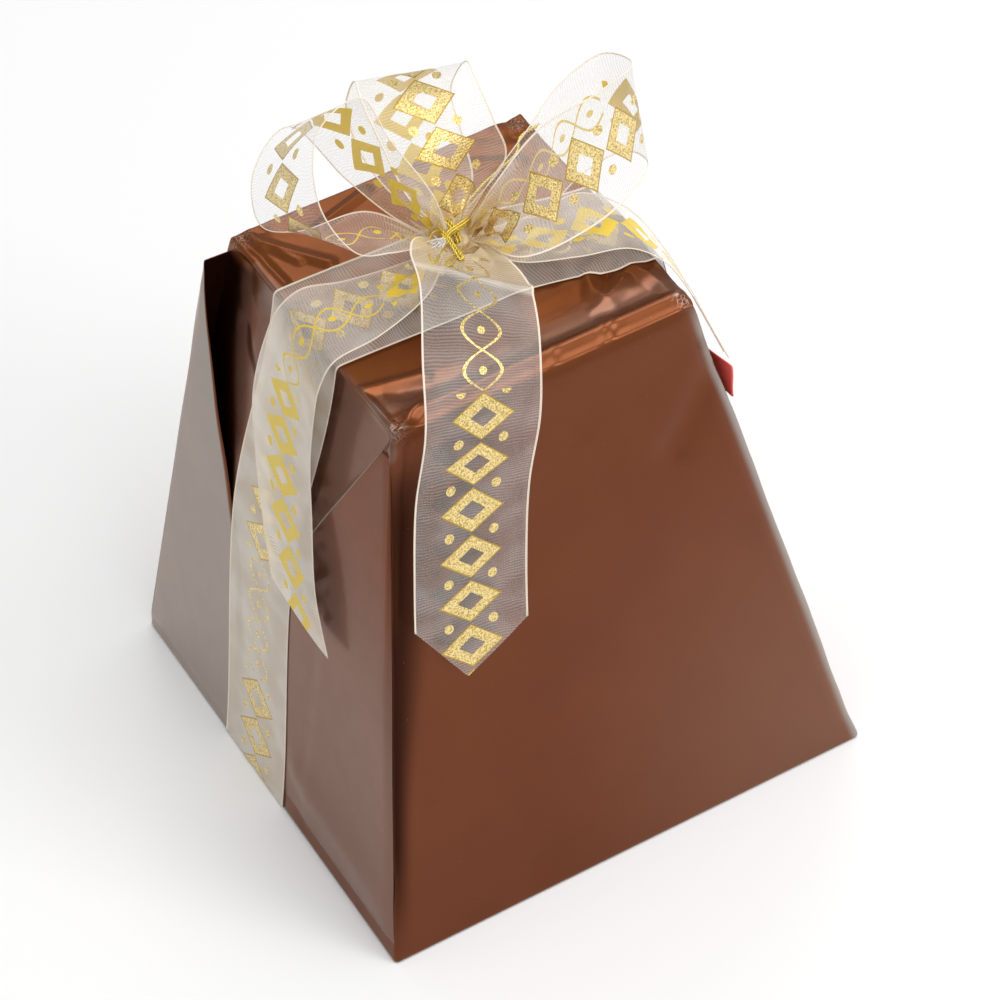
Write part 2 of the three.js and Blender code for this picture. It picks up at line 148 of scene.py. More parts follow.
def make_mesh(name, points, faces, uv=None, materials=(), **marks):
    """A mesh object from arrays. uv is one pair for each corner of a face, also in millimetres.
    Each mark is an attribute with one number for each point, which a material can read."""
    mesh = bpy.data.meshes.new(name)
    metres = np.asarray(points, float).reshape(-1, 3) * MM
    mesh.from_pydata(metres.tolist(), [], np.asarray(faces).tolist())
    if uv is not None:
        mesh.uv_layers.new(name="UVMap").data.foreach_set("uv", (np.asarray(uv, np.float32) * MM).ravel())
    mesh.polygons.foreach_set("use_smooth", np.ones(len(mesh.polygons), bool))
    for material in materials:
        mesh.materials.append(material)
    for mark, values in marks.items():
        numbers = np.asarray(values, np.float32).ravel()
        mesh.attributes.new(mark, "FLOAT", "POINT").data.foreach_set("value", numbers)
    mesh.update()
    piece = bpy.data.objects.new(name, mesh)
    bpy.context.scene.collection.objects.link(piece)
    return piece


def tube_points(path, radius, sides, closed=False):
    """Rings of points round a line: the point plus radius times (cos a, sin a) across the line."""
    path = np.asarray(path, float)
    if closed:
        tangent = unit(np.roll(path, -1, 0) - np.roll(path, 1, 0))
    else:
        tangent = unit(np.gradient(path, axis=0))
    spread = np.abs(tangent).max(0)
    least = np.eye(3)[np.argmin(spread)]
    side = unit(np.cross(tangent, least))
    over = np.cross(tangent, side)
    angle = np.linspace(0, 2 * math.pi, sides, endpoint=False)
    radius = np.broadcast_to(radius, len(path))[:, None, None]
    ring = np.cos(angle)[None, :, None] * side[:, None] + np.sin(angle)[None, :, None] * over[:, None]
    return path[:, None] + radius * ring


def tube(path, radius, sides=8, closed=False):
    """Points and faces of a closed tube along a line. Its ends, if it has any, shrink to a point."""
    points = tube_points(path, radius, sides, closed)
    if not closed:
        points = np.concatenate([np.repeat(points[:1].mean(1, keepdims=True), sides, 1), points,
                                 np.repeat(points[-1:].mean(1, keepdims=True), sides, 1)])
    faces = cells(len(points), sides, around=True, along=closed)
    return points.reshape(-1, 3), faces[:, ::-1]


def join(parts):
    """Several (points, faces) pairs as one pair."""
    points, faces, shift = [], [], 0
    for part_points, part_faces in parts:
        points.append(part_points)
        faces.append(part_faces + shift)
        shift += len(part_points)
    return np.concatenate(points), np.concatenate(faces)


def stand(axes, place):
    """A matrix that places something: its three axes as columns, then its place."""
    rows = [[*row, shift] for row, shift in zip(np.stack(axes, 1), place)]
    return Matrix(rows + [[0, 0, 0, 1]])


# %% [markdown]
# ## Helpers for materials
#
# A material's pattern is worked out by small maths nodes. `Wires` keeps that readable: most calls
# add one node and return its output, so a formula reads almost as on paper.


# %% Node wiring
class Wires:
    """Adds nodes to one tree. A value may be a number or the output of another node."""

    def __init__(self, tree):
        self.tree = tree

    def feed(self, node, socket, value):
        """Gives an input of a node its value, or links it to the output that is given."""
        if isinstance(value, bpy.types.NodeSocket):
            self.tree.links.new(value, node.inputs[socket])
        else:
            node.inputs[socket].default_value = value

    def node(self, kind, inputs=None, **settings):
        made = self.tree.nodes.new(kind)
        for key, value in settings.items():
            setattr(made, key, value)
        for key, value in (inputs or {}).items():
            self.feed(made, key, value)
        return made

    def place(self):
        """The place on the object, in metres."""
        return self.node("ShaderNodeTexCoord").outputs["Object"]

    def mark(self, name):
        """An attribute of the mesh: one number for each point."""
        return self.node("ShaderNodeAttribute", attribute_name=name).outputs["Fac"]

    def relief(self, shader, height, distance, strength):
        """Fine relief of a shader, as high as height times distance in metres."""
        inputs = {"Height": height, "Distance": distance, "Strength": strength}
        self.feed(shader, "Normal", self.node("ShaderNodeBump", inputs).outputs[0])

    def math(self, operation, a, b=0.0):
        return self.node("ShaderNodeMath", {0: a, 1: b}, operation=operation).outputs[0]

    def add(self, a, b):
        return self.math("ADD", a, b)

    def sub(self, a, b):
        return self.math("SUBTRACT", a, b)

    def mul(self, a, b):
        return self.math("MULTIPLY", a, b)

    def less(self, a, b):
        return self.math("LESS_THAN", a, b)

    def sine(self, a, wavelength):
        return self.math("SINE", self.mul(a, 2 * math.pi / wavelength))

    def both(self, a, b):
        return self.math("MINIMUM", a, b)

    def either(self, a, b):
        return self.math("MAXIMUM", a, b)

    def square(self, a):
        return self.math("POWER", a, 2.0)

    def size(self, a):
        """The value without its sign."""
        return self.math("ABSOLUTE", a)

    def repeat(self, a, length):
        """The value less as many whole lengths as it holds."""
        return self.math("FLOORED_MODULO", a, length)

    def step(self, value, low, high, to_low=0.0, to_high=1.0):
        inputs = {0: value, 1: low, 2: high, 3: to_low, 4: to_high}
        return self.node("ShaderNodeMapRange", inputs, interpolation_type="SMOOTHSTEP").outputs[0]

    def noise(self, vector, scale, detail=2.0, roughness=0.5):
        inputs = {"Vector": vector, "Scale": scale, "Detail": detail, "Roughness": roughness}
        return self.node("ShaderNodeTexNoise", inputs).outputs[0]

    def voronoi(self, vector, scale, feature="F1"):
        """Distance from the middle of the nearest cell, or from the nearest edge of a cell."""
        inputs = {"Vector": vector, "Scale": scale}
        return self.node("ShaderNodeTexVoronoi", inputs, feature=feature).outputs["Distance"]

    def mix(self, share, a, b):
        return self.node("ShaderNodeMix", {0: share, 6: a, 7: b}, data_type="RGBA").outputs[2]


def new_group(name, inputs, outputs):
    """An empty shader node group of plain numbers: the group, its wires, its input and its output."""
    group = bpy.data.node_groups.new(name, "ShaderNodeTree")
    for way, labels in (("INPUT", inputs), ("OUTPUT", outputs)):
        for label in labels:
            group.interface.new_socket(name=label, in_out=way, socket_type="NodeSocketFloat")
    wires = Wires(group)
    return group, wires, wires.node("NodeGroupInput"), wires.node("NodeGroupOutput")


def new_material(name):
    """A material with a Principled shader. Returns the material, its wires and that shader."""
    material = bpy.data.materials.new(name)
    material.use_nodes = True
    return material, Wires(material.node_tree), material.node_tree.nodes["Principled BSDF"]


print("helpers ready")

# %% [markdown]
# ## The camera
#
# The photograph looks down at the pack from its front left with a long lens. These values put the
# corners of the box where the photograph has them.

# %% Camera
AZIMUTH, ELEVATION, ROLL = (math.radians(a) for a in (-26.27, 45.57, -5.11))
DISTANCE, SHIFT_RIGHT, SHIFT_UP = 1709.5 * MM, 0.94 * MM, 75.47 * MM
LENS_WIDTHS = 4.0526   # focal length, in widths of the picture
SENSOR = 36.0

back = np.array([math.sin(AZIMUTH) * math.cos(ELEVATION), -math.cos(AZIMUTH) * math.cos(ELEVATION),
                 math.sin(ELEVATION)])
level = np.array([math.cos(AZIMUTH), math.sin(AZIMUTH), 0.0])
upright = np.cross(back, level)
right = level * math.cos(ROLL) + upright * math.sin(ROLL)
up = -level * math.sin(ROLL) + upright * math.cos(ROLL)
eye = back * DISTANCE + right * SHIFT_RIGHT + up * SHIFT_UP

camera = bpy.data.objects.new("camera", bpy.data.cameras.new("camera"))
camera.data.lens = LENS_WIDTHS * SENSOR
camera.data.sensor_width = SENSOR
camera.data.clip_end = 20
camera.matrix_world = stand([right, up, back], eye)
bpy.context.scene.collection.objects.link(camera)
bpy.context.scene.camera = camera
print("camera at", eye.round(3))

# %% [markdown]
# ## The floor and the light
#
# The photograph is a product shot on pure white. A pale floor, an even surround and three large
# soft lamps give that. The film is glossy, so what it reflects matters as much as the lamps: its
# sides mirror the floor, and the folds on top catch the overhead lamp.

# %% Floor and light
FLOOR = 8000.0      # half its side
floor_corners = [[-FLOOR, -FLOOR, 0], [FLOOR, -FLOOR, 0], [FLOOR, FLOOR, 0], [-FLOOR, FLOOR, 0]]
floor = make_mesh("floor", floor_corners, [[0, 1, 2, 3]])
floor_finish, _, shader = new_material("pale_floor")
shader.inputs["Base Color"].default_value = (0.92, 0.92, 0.92, 1)
shader.inputs["Roughness"].default_value = 0.9
shader.inputs["Specular IOR Level"].default_value = 0.1
floor.data.materials.append(floor_finish)

world = bpy.data.worlds.new("surround")
bpy.context.scene.world = world
world.use_nodes = True
world.node_tree.nodes["Background"].inputs["Color"].default_value = (1, 1, 1, 1)
world.node_tree.nodes["Background"].inputs["Strength"].default_value = 0.52
bpy.context.scene.view_settings.view_transform = "Standard"


def soft_lamp(name, place, target, size, power):
    """A square lamp of that size in metres and power in watts, turned to face the target."""
    lamp = bpy.data.lights.new(name, "AREA")
    lamp.size = size
    lamp.energy = power
    piece = bpy.data.objects.new(name, lamp)
    z = unit(np.subtract(place, target))
    x = unit(np.cross([0, 0, 1], z))
    piece.matrix_world = stand([x, np.cross(z, x), z], place)
    bpy.context.scene.collection.objects.link(piece)


soft_lamp("overhead", (0.3, -0.5, 2.4), (0, 0, 0), 1.8, 33)
soft_lamp("key", (1.2, -1.7, 1.3), (0, 0, 0.12), 0.9, 14)
soft_lamp("rear", (0.7, 1.45, 1.9), (0, 0, 0.2), 0.9, 5)
print("stage ready")

# %% [markdown]
# ## The gold cord's loose end
#
# A cord is two strands twisted round each other. Each strand runs along a screw line: the middle
# of the cord plus about half its radius times (cos a, sin a), where a turns once for each pitch.
# One round tube with a bump could stand for it, but the twist shows along its outline.

# %% Twisted cord
STRANDS = 2
STRAND_SHARE = 0.54     # a strand's radius as a share of the cord's: the two overlap a little
STRAND_SIDES = 6
TURN_STEPS = 10


def twisted(path, radius, pitch, closed=False):
    """Points and faces of strands laid as screws round a path."""
    path = np.asarray(path, float)
    path = np.vstack([path, path[:1]]) if closed else path
    walk = length_along(path)
    turns = max(1, round(walk[-1] / pitch))
    share = np.linspace(0, 1, turns * TURN_STEPS + 1)[: -1 if closed else None]
    middle = np.stack([np.interp(share * walk[-1], walk, path[:, k]) for k in range(3)], 1)
    spokes = tube_points(middle, 1.0, 4, closed) - middle[:, None]
    side, over = spokes[:, 0], spokes[:, 1]
    parts = []
    for k in range(STRANDS):
        angle = (2 * math.pi * (share * turns + k / STRANDS))[:, None]
        screw = middle + (1 - STRAND_SHARE) * radius * (np.cos(angle) * side + np.sin(angle) * over)
        parts.append(tube(screw, STRAND_SHARE * radius, STRAND_SIDES, closed))
    return join(parts)


CORD_END_ROUTE = [
    (-2, 9, 250), (-1, 10.8, 247.6), (1, 13, 245), (4, 15.8, 242.2), (8, 19.2, 239.8), (13, 23, 238.3),
    (19, 27.4, 237.5), (26, 31.6, 237.4), (33, 35.4, 237.1), (40, 38.4, 236.8), (46, 41, 236.6),
    (50, 43, 236.5), (53, 46, 236.5), (55.5, 49.8, 236.5), (59, 52, 236.5), (64, 53.2, 236.5),
]
cord_line = curve(CORD_END_ROUTE, np.linspace(0, 1, 160))

# %% [markdown]
# ## Gold thread and red card
#
# The cord is metallic thread: bright, with fine filaments that break up the shine. Its core is
# white fibre, which shows in the tuft. The card is plain red board with a faint paper grain.

# %% Thread and card materials
gold_thread, wires, shader = new_material("gold_thread")
filaments = wires.noise(wires.place(), 2600, 2)
shader.inputs["Metallic"].default_value = 0.85
shader.inputs["Roughness"].default_value = 0.3
colour = wires.mix(filaments, (0.52, 0.36, 0.025, 1), (1.0, 0.80, 0.19, 1))
wires.feed(shader, "Base Color", colour)
wires.relief(shader, filaments, 0.0002, 0.7)

white_fibre, wires, shader = new_material("white_fibre")
colour = wires.mix(wires.noise(wires.place(), 900), (0.62, 0.6, 0.56, 1), (0.95, 0.94, 0.92, 1))
wires.feed(shader, "Base Color", colour)
shader.inputs["Roughness"].default_value = 0.7

red_board, wires, shader = new_material("red_board")
place = wires.place()
grain = wires.noise(place, 1400, 4, 0.7)
cloud = wires.noise(place, 60, 2)
wires.feed(shader, "Base Color", wires.mix(cloud, (0.93, 0.11, 0.085, 1), (0.98, 0.17, 0.135, 1)))
wires.feed(shader, "Roughness", wires.step(grain, 0.3, 0.7, 0.42, 0.6))
wires.relief(shader, grain, 0.0001, 0.5)

# %% The loose end
cord_end = make_mesh("cord_end_twist", *twisted(cord_line, CORD_RADIUS, CORD_PITCH), materials=[gold_thread])
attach(cord_end, "root")
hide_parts("gold_cord_end")


def whisker_bunch(start, heading, count, reach, spread, radius):
    """Fine fibres from one point: each leaves along the heading and bends its own way."""
    start, heading = np.asarray(start, float), unit(np.asarray(heading, float))
    parts = []
    for _ in range(count):
        lean = rng.normal(0, spread, 3)
        far = start + (heading + lean) * reach * rng.uniform(0.6, 1.0)
        middle = (start + far) / 2 + rng.normal(0, 0.12, 3) * reach
        parts.append(tube(curve([start, middle, far], np.linspace(0, 1, 9)), radius, 5))
    return join(parts)


fray = whisker_bunch(CORD_END_ROUTE[-1], heading=(1, 0.25, 0.02), count=12, reach=3.2, spread=0.16,
                     radius=0.13)
end_fray = make_mesh("cord_end_fray", *fray, materials=[gold_thread])
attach(end_fray, "root")
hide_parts("gold_cord_end")

# %% [markdown]
# ## The brown film
#
# The wrapping is satin metallised film: part mirror and part brown lacquer. Slack areas show
# broad soft highlights, and the corners where it was folded break into small facets. The large
# folds are geometry, the fine crackle is bump, and the dust is colour. Light and shade are also
# painted into the colour: painted shade along the near edge and in the pocket, and painted pale
# reflections and highlights at the far left, on the panel between the flaps and along edges. One
# attribute holds this, one number for each point: painted shade at 1, plain at 0 and painted pale
# reflection at -1. Two more say where the film is crumpled small, which also paints pale glints on
# its facet edges, and where painted light makes the brown warmer and lighter.

# %% Film material
film, wires, shader = new_material("brown_film")
place = wires.place()
tone, crumple, warm = (wires.mark(name) for name in ("tone", "crumple", "warm"))
slack = wires.noise(place, 22, 3, 0.55)
crackle = wires.noise(place, 90, 2, 0.5)
dust = wires.voronoi(place, 170)
facet = wires.voronoi(place, 620, "DISTANCE_TO_EDGE")
# painted glints: the edges of small facets are painted pale where the film is crumpled
crumple_glint = wires.mul(wires.step(facet, 0.10, 0.0), wires.mul(crumple, 0.5))
body = wires.mix(slack, (0.126, 0.031, 0.009, 1), (0.172, 0.047, 0.015, 1))
# painted light: a warmer, lighter brown on the top and at the lower right of the front
body = wires.mix(warm, body, (0.205, 0.060, 0.016, 1))
# painted shade: dark brown where the painted value is above 0
body = wires.mix(wires.either(tone, 0.0), body, (0.022, 0.004, 0.001, 1))
# painted pale reflections and highlights where the painted value is below 0, and painted glints on crumples
painted_pale = wires.either(wires.either(wires.mul(tone, -1.0), 0.0), crumple_glint)
body = wires.mix(painted_pale, body, (0.52, 0.57, 0.55, 1))
specks = wires.mul(wires.step(dust, 0.05, 0.02), 0.5)
wires.feed(shader, "Base Color", wires.mix(specks, body, (0.30, 0.16, 0.10, 1)))
wires.feed(shader, "Roughness", wires.step(crackle, 0.3, 0.7, 0.28, 0.36))
shader.inputs["Metallic"].default_value = 0.75
shader.inputs["Specular IOR Level"].default_value = 0.2
shader.inputs["Specular Tint"].default_value = (0.88, 0.68, 0.58, 1)
coat = wires.sub(0.52, wires.mul(wires.either(tone, wires.mul(warm, 0.7)), 0.45))
wires.feed(shader, "Coat Weight", coat)
shader.inputs["Coat IOR"].default_value = 1.3
shader.inputs["Coat Roughness"].default_value = 0.14
height = wires.add(wires.mul(slack, 0.8), wires.mul(crackle, 0.02))
height = wires.add(height, wires.mul(crumple, wires.mul(facet, 1.6)))
wires.relief(shader, height, 0.0016, 0.32)

# %% [markdown]
# ## The wrapped box
#
# The box is a rounded cube that is drawn in towards the top. A cube's six faces each carry a grid
# from -1 to 1, and shared edge points are merged. A cloth simulation could crumple the film, but
# its folds would fall where they like. Here each fold is a term in a height formula, so it sits
# where the photograph has it. In these formulas a number in front is the height of a fold, and
# the numbers inside are its place and its width on the face, all in millimetres.


# %% Folds of the film
def facets(u, v, size):
    """Flat crumples: the product of two zigzags that cross at an angle, between -1 and 1."""
    def zigzag(w):
        return 4 * np.abs(w - np.floor(w + 0.5)) - 1
    return zigzag((u + 0.45 * v) / size + 0.2) * zigzag((v - 0.3 * u) / (1.3 * size) + 0.1)


def drift(x, y, wavelength, key):
    """Gentle unevenness: the mean of six sine waves with fixed but unordered directions."""
    total = 0
    for direction, phase in np.random.default_rng(SEED + key).uniform(0, 2 * math.pi, (6, 2)):
        along = x * math.cos(direction) + y * math.sin(direction)
        total = total + np.sin(along * 2 * math.pi / wavelength + phase)
    return total / 6


# Creases of the top: two ends, the height and the half-width of each.
TOP_CREASES = [
    ((51, -26), (38, -31), 2.6, 6), ((51, -26), (43, -35), -1.3, 4), ((51, -26), (60, -50), 1.8, 5),
    ((38, -31), (35, -40), 1.8, 6), ((35, -40), (38, -47), 1.5, 5), ((38, -47), (49, -40), 1.4, 5),
    ((38, -31), (12, -30), 1.2, 10), ((30, -48), (38, -47), 0.8, 2.6), ((2, -44), (30, -41), -1.0, 8),
    ((-63, -39), (-40, -44), 2.0, 4), ((-64, -40), (-63, -61), 1.5, 3), ((-46, -56), (-62, -65), 1.3, 2.6),
    ((-52, -46), (-30, -50), -1.2, 6), ((-59, 60), (-49, 37), 1.3, 3), ((-56, 53), (-40, 30), 1.6, 4),
    ((-61, 60), (-59, 30), -0.9, 2.4), ((-33, 51), (-8, 59), 1.6, 3.4), ((10, 60), (50, 40), 1.2, 4),
    ((26, -64), (30, -54), 0.5, 2.5), ((34, -55), (29, -64), 0.5, 2.0), ((8, -57), (4, -64), 0.4, 2.5),
]
# Corners of the top: the place and the size of the small crumples there.
CORNERS = [(-63, -63, 6), (62, -61, 5), (-62, 62, 7), (60, 60, 6)]


def top_folds(x, y):
    """Height of the top: a rolled front edge, a valley behind it, creases, and crumpled corners."""
    tight = smooth(-57, -45, y)
    welt = 1.1 * bump(y, -59, 1.9) + 0.6 * bump(y, -59.5, 4.5)
    welt = welt * smooth(-64, -52, x) * (1 - smooth(60, 66, x))
    roll = 2.8 * smooth(-58, -66, y) * smooth(-62, -50, x)
    valley = 1.6 * bump(y, -51, 5) * smooth(-60, -40, x)
    peak = 0.7 * ridge(x, y, (36, -47), (52, -46), 4)
    each = np.stack([height * tent(x, y, start, end, width) for start, end, height, width in TOP_CREASES])
    creases = np.clip(each.max(0), 0, None) + np.clip(each.min(0), None, 0)
    near = [np.hypot(x - cx, y - cy) for cx, cy, _ in CORNERS]
    broad = sum(bump(away, 0, 14) for away in near) * facets(x, y, 15)
    fine = sum(bump(away, 0, size) for away, (_, _, size) in zip(near, CORNERS)) * facets(x, y, 6)
    waves = peak + 1.1 * broad + 0.9 * drift(x, y, 75, 1)
    return welt - roll - valley + creases + 0.35 * fine + tight * waves


def front_folds(x, z):
    """Depth of the front: it bows a little, sinks below the top edge, and has a dent at the right."""
    bow = 0.6 * bump(z, 90, 60) * bump(x, 20, 60)
    sunken = 1.0 * bump(z, 208, 12)
    dent = 2.0 * ridge(x, z, (66, 197), (48, 176), 8)
    prick = 0.5 * bump(np.hypot(x - 65, z - 87), 0, 1.6)
    pull = 0.5 * tent(x, z, (-60, 215), (-20, 185), 9) + 0.4 * tent(x, z, (10, 222), (40, 170), 12)
    shoulder = 2.0 * smooth(222, 236, z) ** 2
    turned = 2.6 * smooth(-11, 0, x - half_side(z)) ** 2
    waves = 0.45 * drift(x, z, 90, 2) + 0.10 * drift(x, z, 23, 3)
    return bow - sunken - dent - prick - turned - shoulder + pull + waves


def flap_edge(z):
    """Where the front flap ends on the left face: a slanted edge that runs down under the band."""
    slanted = -61 + (225 - z) / 1.67
    return np.where(z > 150, slanted, -16 + 21 * smooth(150, 115, z) - 11 * smooth(60, 0, z))


def end_ridge(y, z):
    """Height of the left face outside its flaps: a soft ridge crosses the foot."""
    foot = 1.4 * ridge(y, z, (-14, 30), (-90, 24), 9) * (1 - smooth(-24, -12, y))
    return foot + 0.3 * drift(y, z, 80, 4) * (1 - smooth(-12, 0, y))


def end_panel(y, z):
    """How far the panel between the two flaps lies in: it is a fold lower than they are."""
    inside = smooth(-2, 2, y - flap_edge(z)) * smooth(140, 156, z)
    streak = 0.7 * tent(y, z, (60, 222), (20, 170), 7) - 0.8 * tent(y, z, (20, 228), (50, 205), 9)
    return inside * (1 - smooth(46, 60, y)) * (1.6 - streak - 0.4 * drift(y, z, 45, 5))


CROWD = 0.55            # how far the grid's lines move towards the edges, where the folds are finest


def wrap(raw):
    """Points of the film from points of a cube of side 2: rounded, drawn in, then folded."""
    crowd = (1 - CROWD) * raw + CROWD * np.sin(math.pi / 2 * raw)
    half = np.array([BASE / 2, BASE / 2, HEIGHT / 2])
    point = crowd * half
    inner = np.clip(point, EDGE_RADIUS - half, half - EDGE_RADIUS)
    rounded = inner + unit(point - inner) * EDGE_RADIUS
    z = rounded[:, 2] + HEIGHT / 2
    side = half_side(z)
    x, y = (rounded[:, k] * side / half[k] for k in (0, 1))
    on_end, on_front = smooth(0.9, 0.98, -x / side), smooth(0.9, 0.98, -y / side)
    on_far, on_rear = smooth(0.9, 0.98, x / side), smooth(0.9, 0.98, y / side)
    on_top = smooth(HEIGHT - 3, HEIGHT - 0.5, z)
    wall = (1 - on_top) * smooth(0, 14, z)
    x = x - wall * on_end * (end_ridge(y, z) - end_panel(y, z))
    y = y - wall * on_front * front_folds(x, z)
    x = x + wall * on_far * (0.4 * drift(y, z, 70, 6) + 0.5 * tent(y, z, (-58, 225), (-15, 160), 6))
    y = y + wall * on_rear * (0.4 * drift(x, z, 75, 7) + 0.5 * tent(x, z, (58, 222), (10, 170), 6))
    edge_nicks = bump(np.hypot(np.abs(x) - side, np.abs(y) - side), 0, 5) * wall
    x = x + np.sign(x) * edge_nicks * 0.5 * drift(z, z * 0.3, 26, 8)
    z = z + on_top * top_folds(x, y)
    return np.stack([x, y, z], 1)


def film_tone(points):
    """Painted shade along the near edge and in the pocket; painted pale reflections at the far left, on
    the panel between the flaps, down the right edge of the front, at its lower right and in the top's valley."""
    x, y, z = points.T
    side = half_side(z)
    on_left = smooth(4, 0, np.abs(x + side))
    on_front = smooth(4, 0, np.abs(y + side))
    width = 9 + 16 * smooth(60, 200, z)
    # painted shade along the near edge of the front, wider higher up
    near = smooth(1, 0.1, (x + side) / width) * on_front * smooth(226, 205, z) * smooth(-10, 60, z)
    # painted shade in the pocket behind the rear flap
    pocket = smooth(42, 49, y) * smooth(110, 128, z) * on_left * smooth(231, 226, z)
    # painted reflection of the pale floor, low on the left end
    painted_silver = end_floor_reflection(y) * smooth(3, 0.5, np.abs(x + side)) * smooth(128, 105, z)
    # a painted pale streak of reflection on the panel between the flaps
    streak = (0.10 + 0.28 * tent(y, z, (26, 226), (2, 170), 14)) * on_left * smooth(140, 160, z) * (y < 46)
    # a painted pale reflection down the right edge of the front
    edge_reflection_strip = 0.5 * smooth(5, 0.5, side - x) * smooth(9, 3, np.abs(y + side)) * smooth(236, 216, z)
    # painted reflection: the lower right of the front a little paler
    painted_sheen = 0.07 * lower_right_reflection(x, y, z)
    # painted pale reflection in the valley behind the top's front edge
    valley_reflection = 0.10 * bump(y, -51, 6) * (z > HEIGHT - 5)
    return np.maximum(near * 0.95, pocket) - painted_silver - streak - edge_reflection_strip - valley_reflection - painted_sheen


def lower_right_reflection(x, y, z):
    """Where the lower right of the front is painted paler and warmer: a painted reflection of a brighter part
    of the floor.
    """
    return smooth(-40, 100, x) * smooth(190, 10, z) * (y < 0)


def end_floor_reflection(y):
    """How pale the left end is painted, away from the near edge: a painted reflection of the pale floor."""
    return 0.48 * smooth(-30, 34, y)


def crumples(points):
    """Where the film is crumpled small, round the four corners of the top: it gets facet bumps and painted
    pale glints.
    """
    x, y, z = points.T
    near = sum(bump(np.hypot(x - cx, y - cy), 0, 0.6 * size) for cx, cy, size in CORNERS)
    return smooth(227, 233, z) * near


def top_warmth(points):
    """How much painted light warms the film: most on the top, less on the shelf behind its front edge."""
    x, y, z = points.T
    return smooth(HEIGHT - 7, HEIGHT - 3, z) * (0.55 + 0.45 * smooth(-52, -36, y))


# %% The wrapped box itself
STEPS = 126             # cells along each side of each of the cube's faces
CHANNEL_Y = 4.5         # middle of the shallow channel under the foot, where the band passes
CHANNEL_HALF = RIBBON_WIDTH / 2 + 13
CHANNEL_DEPTH = 1.6
line = np.linspace(-1, 1, STEPS + 1)
first, second = (g.ravel() for g in np.meshgrid(line, line, indexing="ij"))
raw, faces = [], []
for axis in range(3):
    for sign in (-1, 1):
        face = np.empty((first.size, 3))
        face[:, axis] = sign
        face[:, (axis + 1) % 3], face[:, (axis + 2) % 3] = first, second
        quads = cells(STEPS + 1, STEPS + 1) + len(raw) * first.size
        raw.append(face)
        faces.append(quads if sign > 0 else quads[:, ::-1])
raw, same = np.unique(np.round(np.concatenate(raw), 6), axis=0, return_inverse=True)
box_points = wrap(raw)
in_channel = np.abs(box_points[:, 1] - CHANNEL_Y) < CHANNEL_HALF
box_points[in_channel, 2] = np.maximum(box_points[in_channel, 2], CHANNEL_DEPTH)
film_wrap = make_mesh("film_wrap", box_points, same.reshape(-1)[np.concatenate(faces)], materials=[film],
                      tone=film_tone(box_points), crumple=crumples(box_points),
                      warm=np.maximum(top_warmth(box_points), 0.45 * lower_right_reflection(*box_points.T)))
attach(film_wrap, "root")
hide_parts("wrapped_pack")
print("film_wrap", len(film_wrap.data.polygons) * 2, "triangles")

# %% [markdown]
# ## The two flaps
#
# At an end of the pack the film is folded like the end of a parcel. The rear flap stands off, and
# the pocket behind it is the dark gap, with painted shade inside. The front flap lies flat, and a
# painted highlight lies along its cut edge. A flap could be a plane with the Solidify modifier.
# Here `slab` closes its rim as well, so that the cut edge has faces of its own for that painted highlight.


# %% Thin closed sheets
def slab(grid, thickness):
    """Points and faces of a sheet of even thickness round a grid, its rim closed."""
    rows, columns = grid.shape[:2]
    normal = unit(np.cross(np.gradient(grid, axis=0), np.gradient(grid, axis=1)))
    points = np.concatenate([grid + normal * thickness / 2, grid - normal * thickness / 2]).reshape(-1, 3)
    top = cells(rows, columns)
    under = top[:, ::-1] + rows * columns
    number = np.arange(rows * columns).reshape(rows, columns)
    rim = np.concatenate([number[:-1, 0], number[-1, :-1], number[:0:-1, -1], number[0, :0:-1]])
    after = np.roll(rim, -1)
    side = np.stack([rim, rim + rows * columns, after + rows * columns, after], 1)
    return points, np.concatenate([top, under, side])


FLAP_LOW = 112.0        # height round which the rear flap comes to lie on the face
FLAP_APEX = np.array([-77, 64.5, 229])      # top of the rear flap's outer fold
FLAP_TURN = 0.55        # share of the rear flap's width from its free edge to that fold
FLAP_FREE_EDGE = [
    (-109.7, 24, 3), (-103.2, 27, 37), (-95.6, 34, 77), (-91.4, 40, 99), (-88.8, 45.5, 114),
    (-86, 51, 135), (-84, 57, 160), (-81, 62, 192), (-78, 63, 229),
]
FILM_THICKNESS = 0.35


def rear_flap(rows=150, columns=44):
    """The rear flap: from its free edge round the outer fold and back to the edge of the box. Low
    down it lies on the face and its free edge is under the band, higher up it stands off."""
    free = curve(FLAP_FREE_EDGE, np.linspace(0, 1, rows))
    z = free[:, 2]
    foot = np.array([-BASE / 2, BASE / 2, 0])
    fold = foot + (FLAP_APEX - foot) * (z / FLAP_APEX[2])[:, None]
    side = half_side(z)
    root = np.stack([4 - side, side - 2.5, z], 1)
    s = np.linspace(0, 1, columns)[None, :, None]
    out, home = np.clip(s / FLAP_TURN, 0, 1), np.clip((s - FLAP_TURN) / (1 - FLAP_TURN), 0, 1)
    grid = (free[:, None] * (1 - out) + fold[:, None] * out) * (s <= FLAP_TURN)
    grid = grid + (fold[:, None] * (1 - home) + root[:, None] * home) * (s > FLAP_TURN)
    rise = (free[:, 0] - fold[:, 0])[:, None] * (out - out**2)[..., 0]
    swell = np.sin(math.pi * out[..., 0]) * 0.8 + 0.4 * drift(z[:, None], 60 * s[0, :, 0][None], 60, 9)
    grid[..., 0] += rise * 0.9 * smooth(FLAP_LOW + 30, FLAP_LOW - 20, z)[:, None]
    grid[..., 0] -= swell * smooth(FLAP_LOW - 20, 150, z)[:, None] * (1 - smooth(215, 229, z))[:, None]
    grid[..., 0] += 0.9 * smooth(10, 2, z)[:, None]     # its foot sinks into the face
    return grid


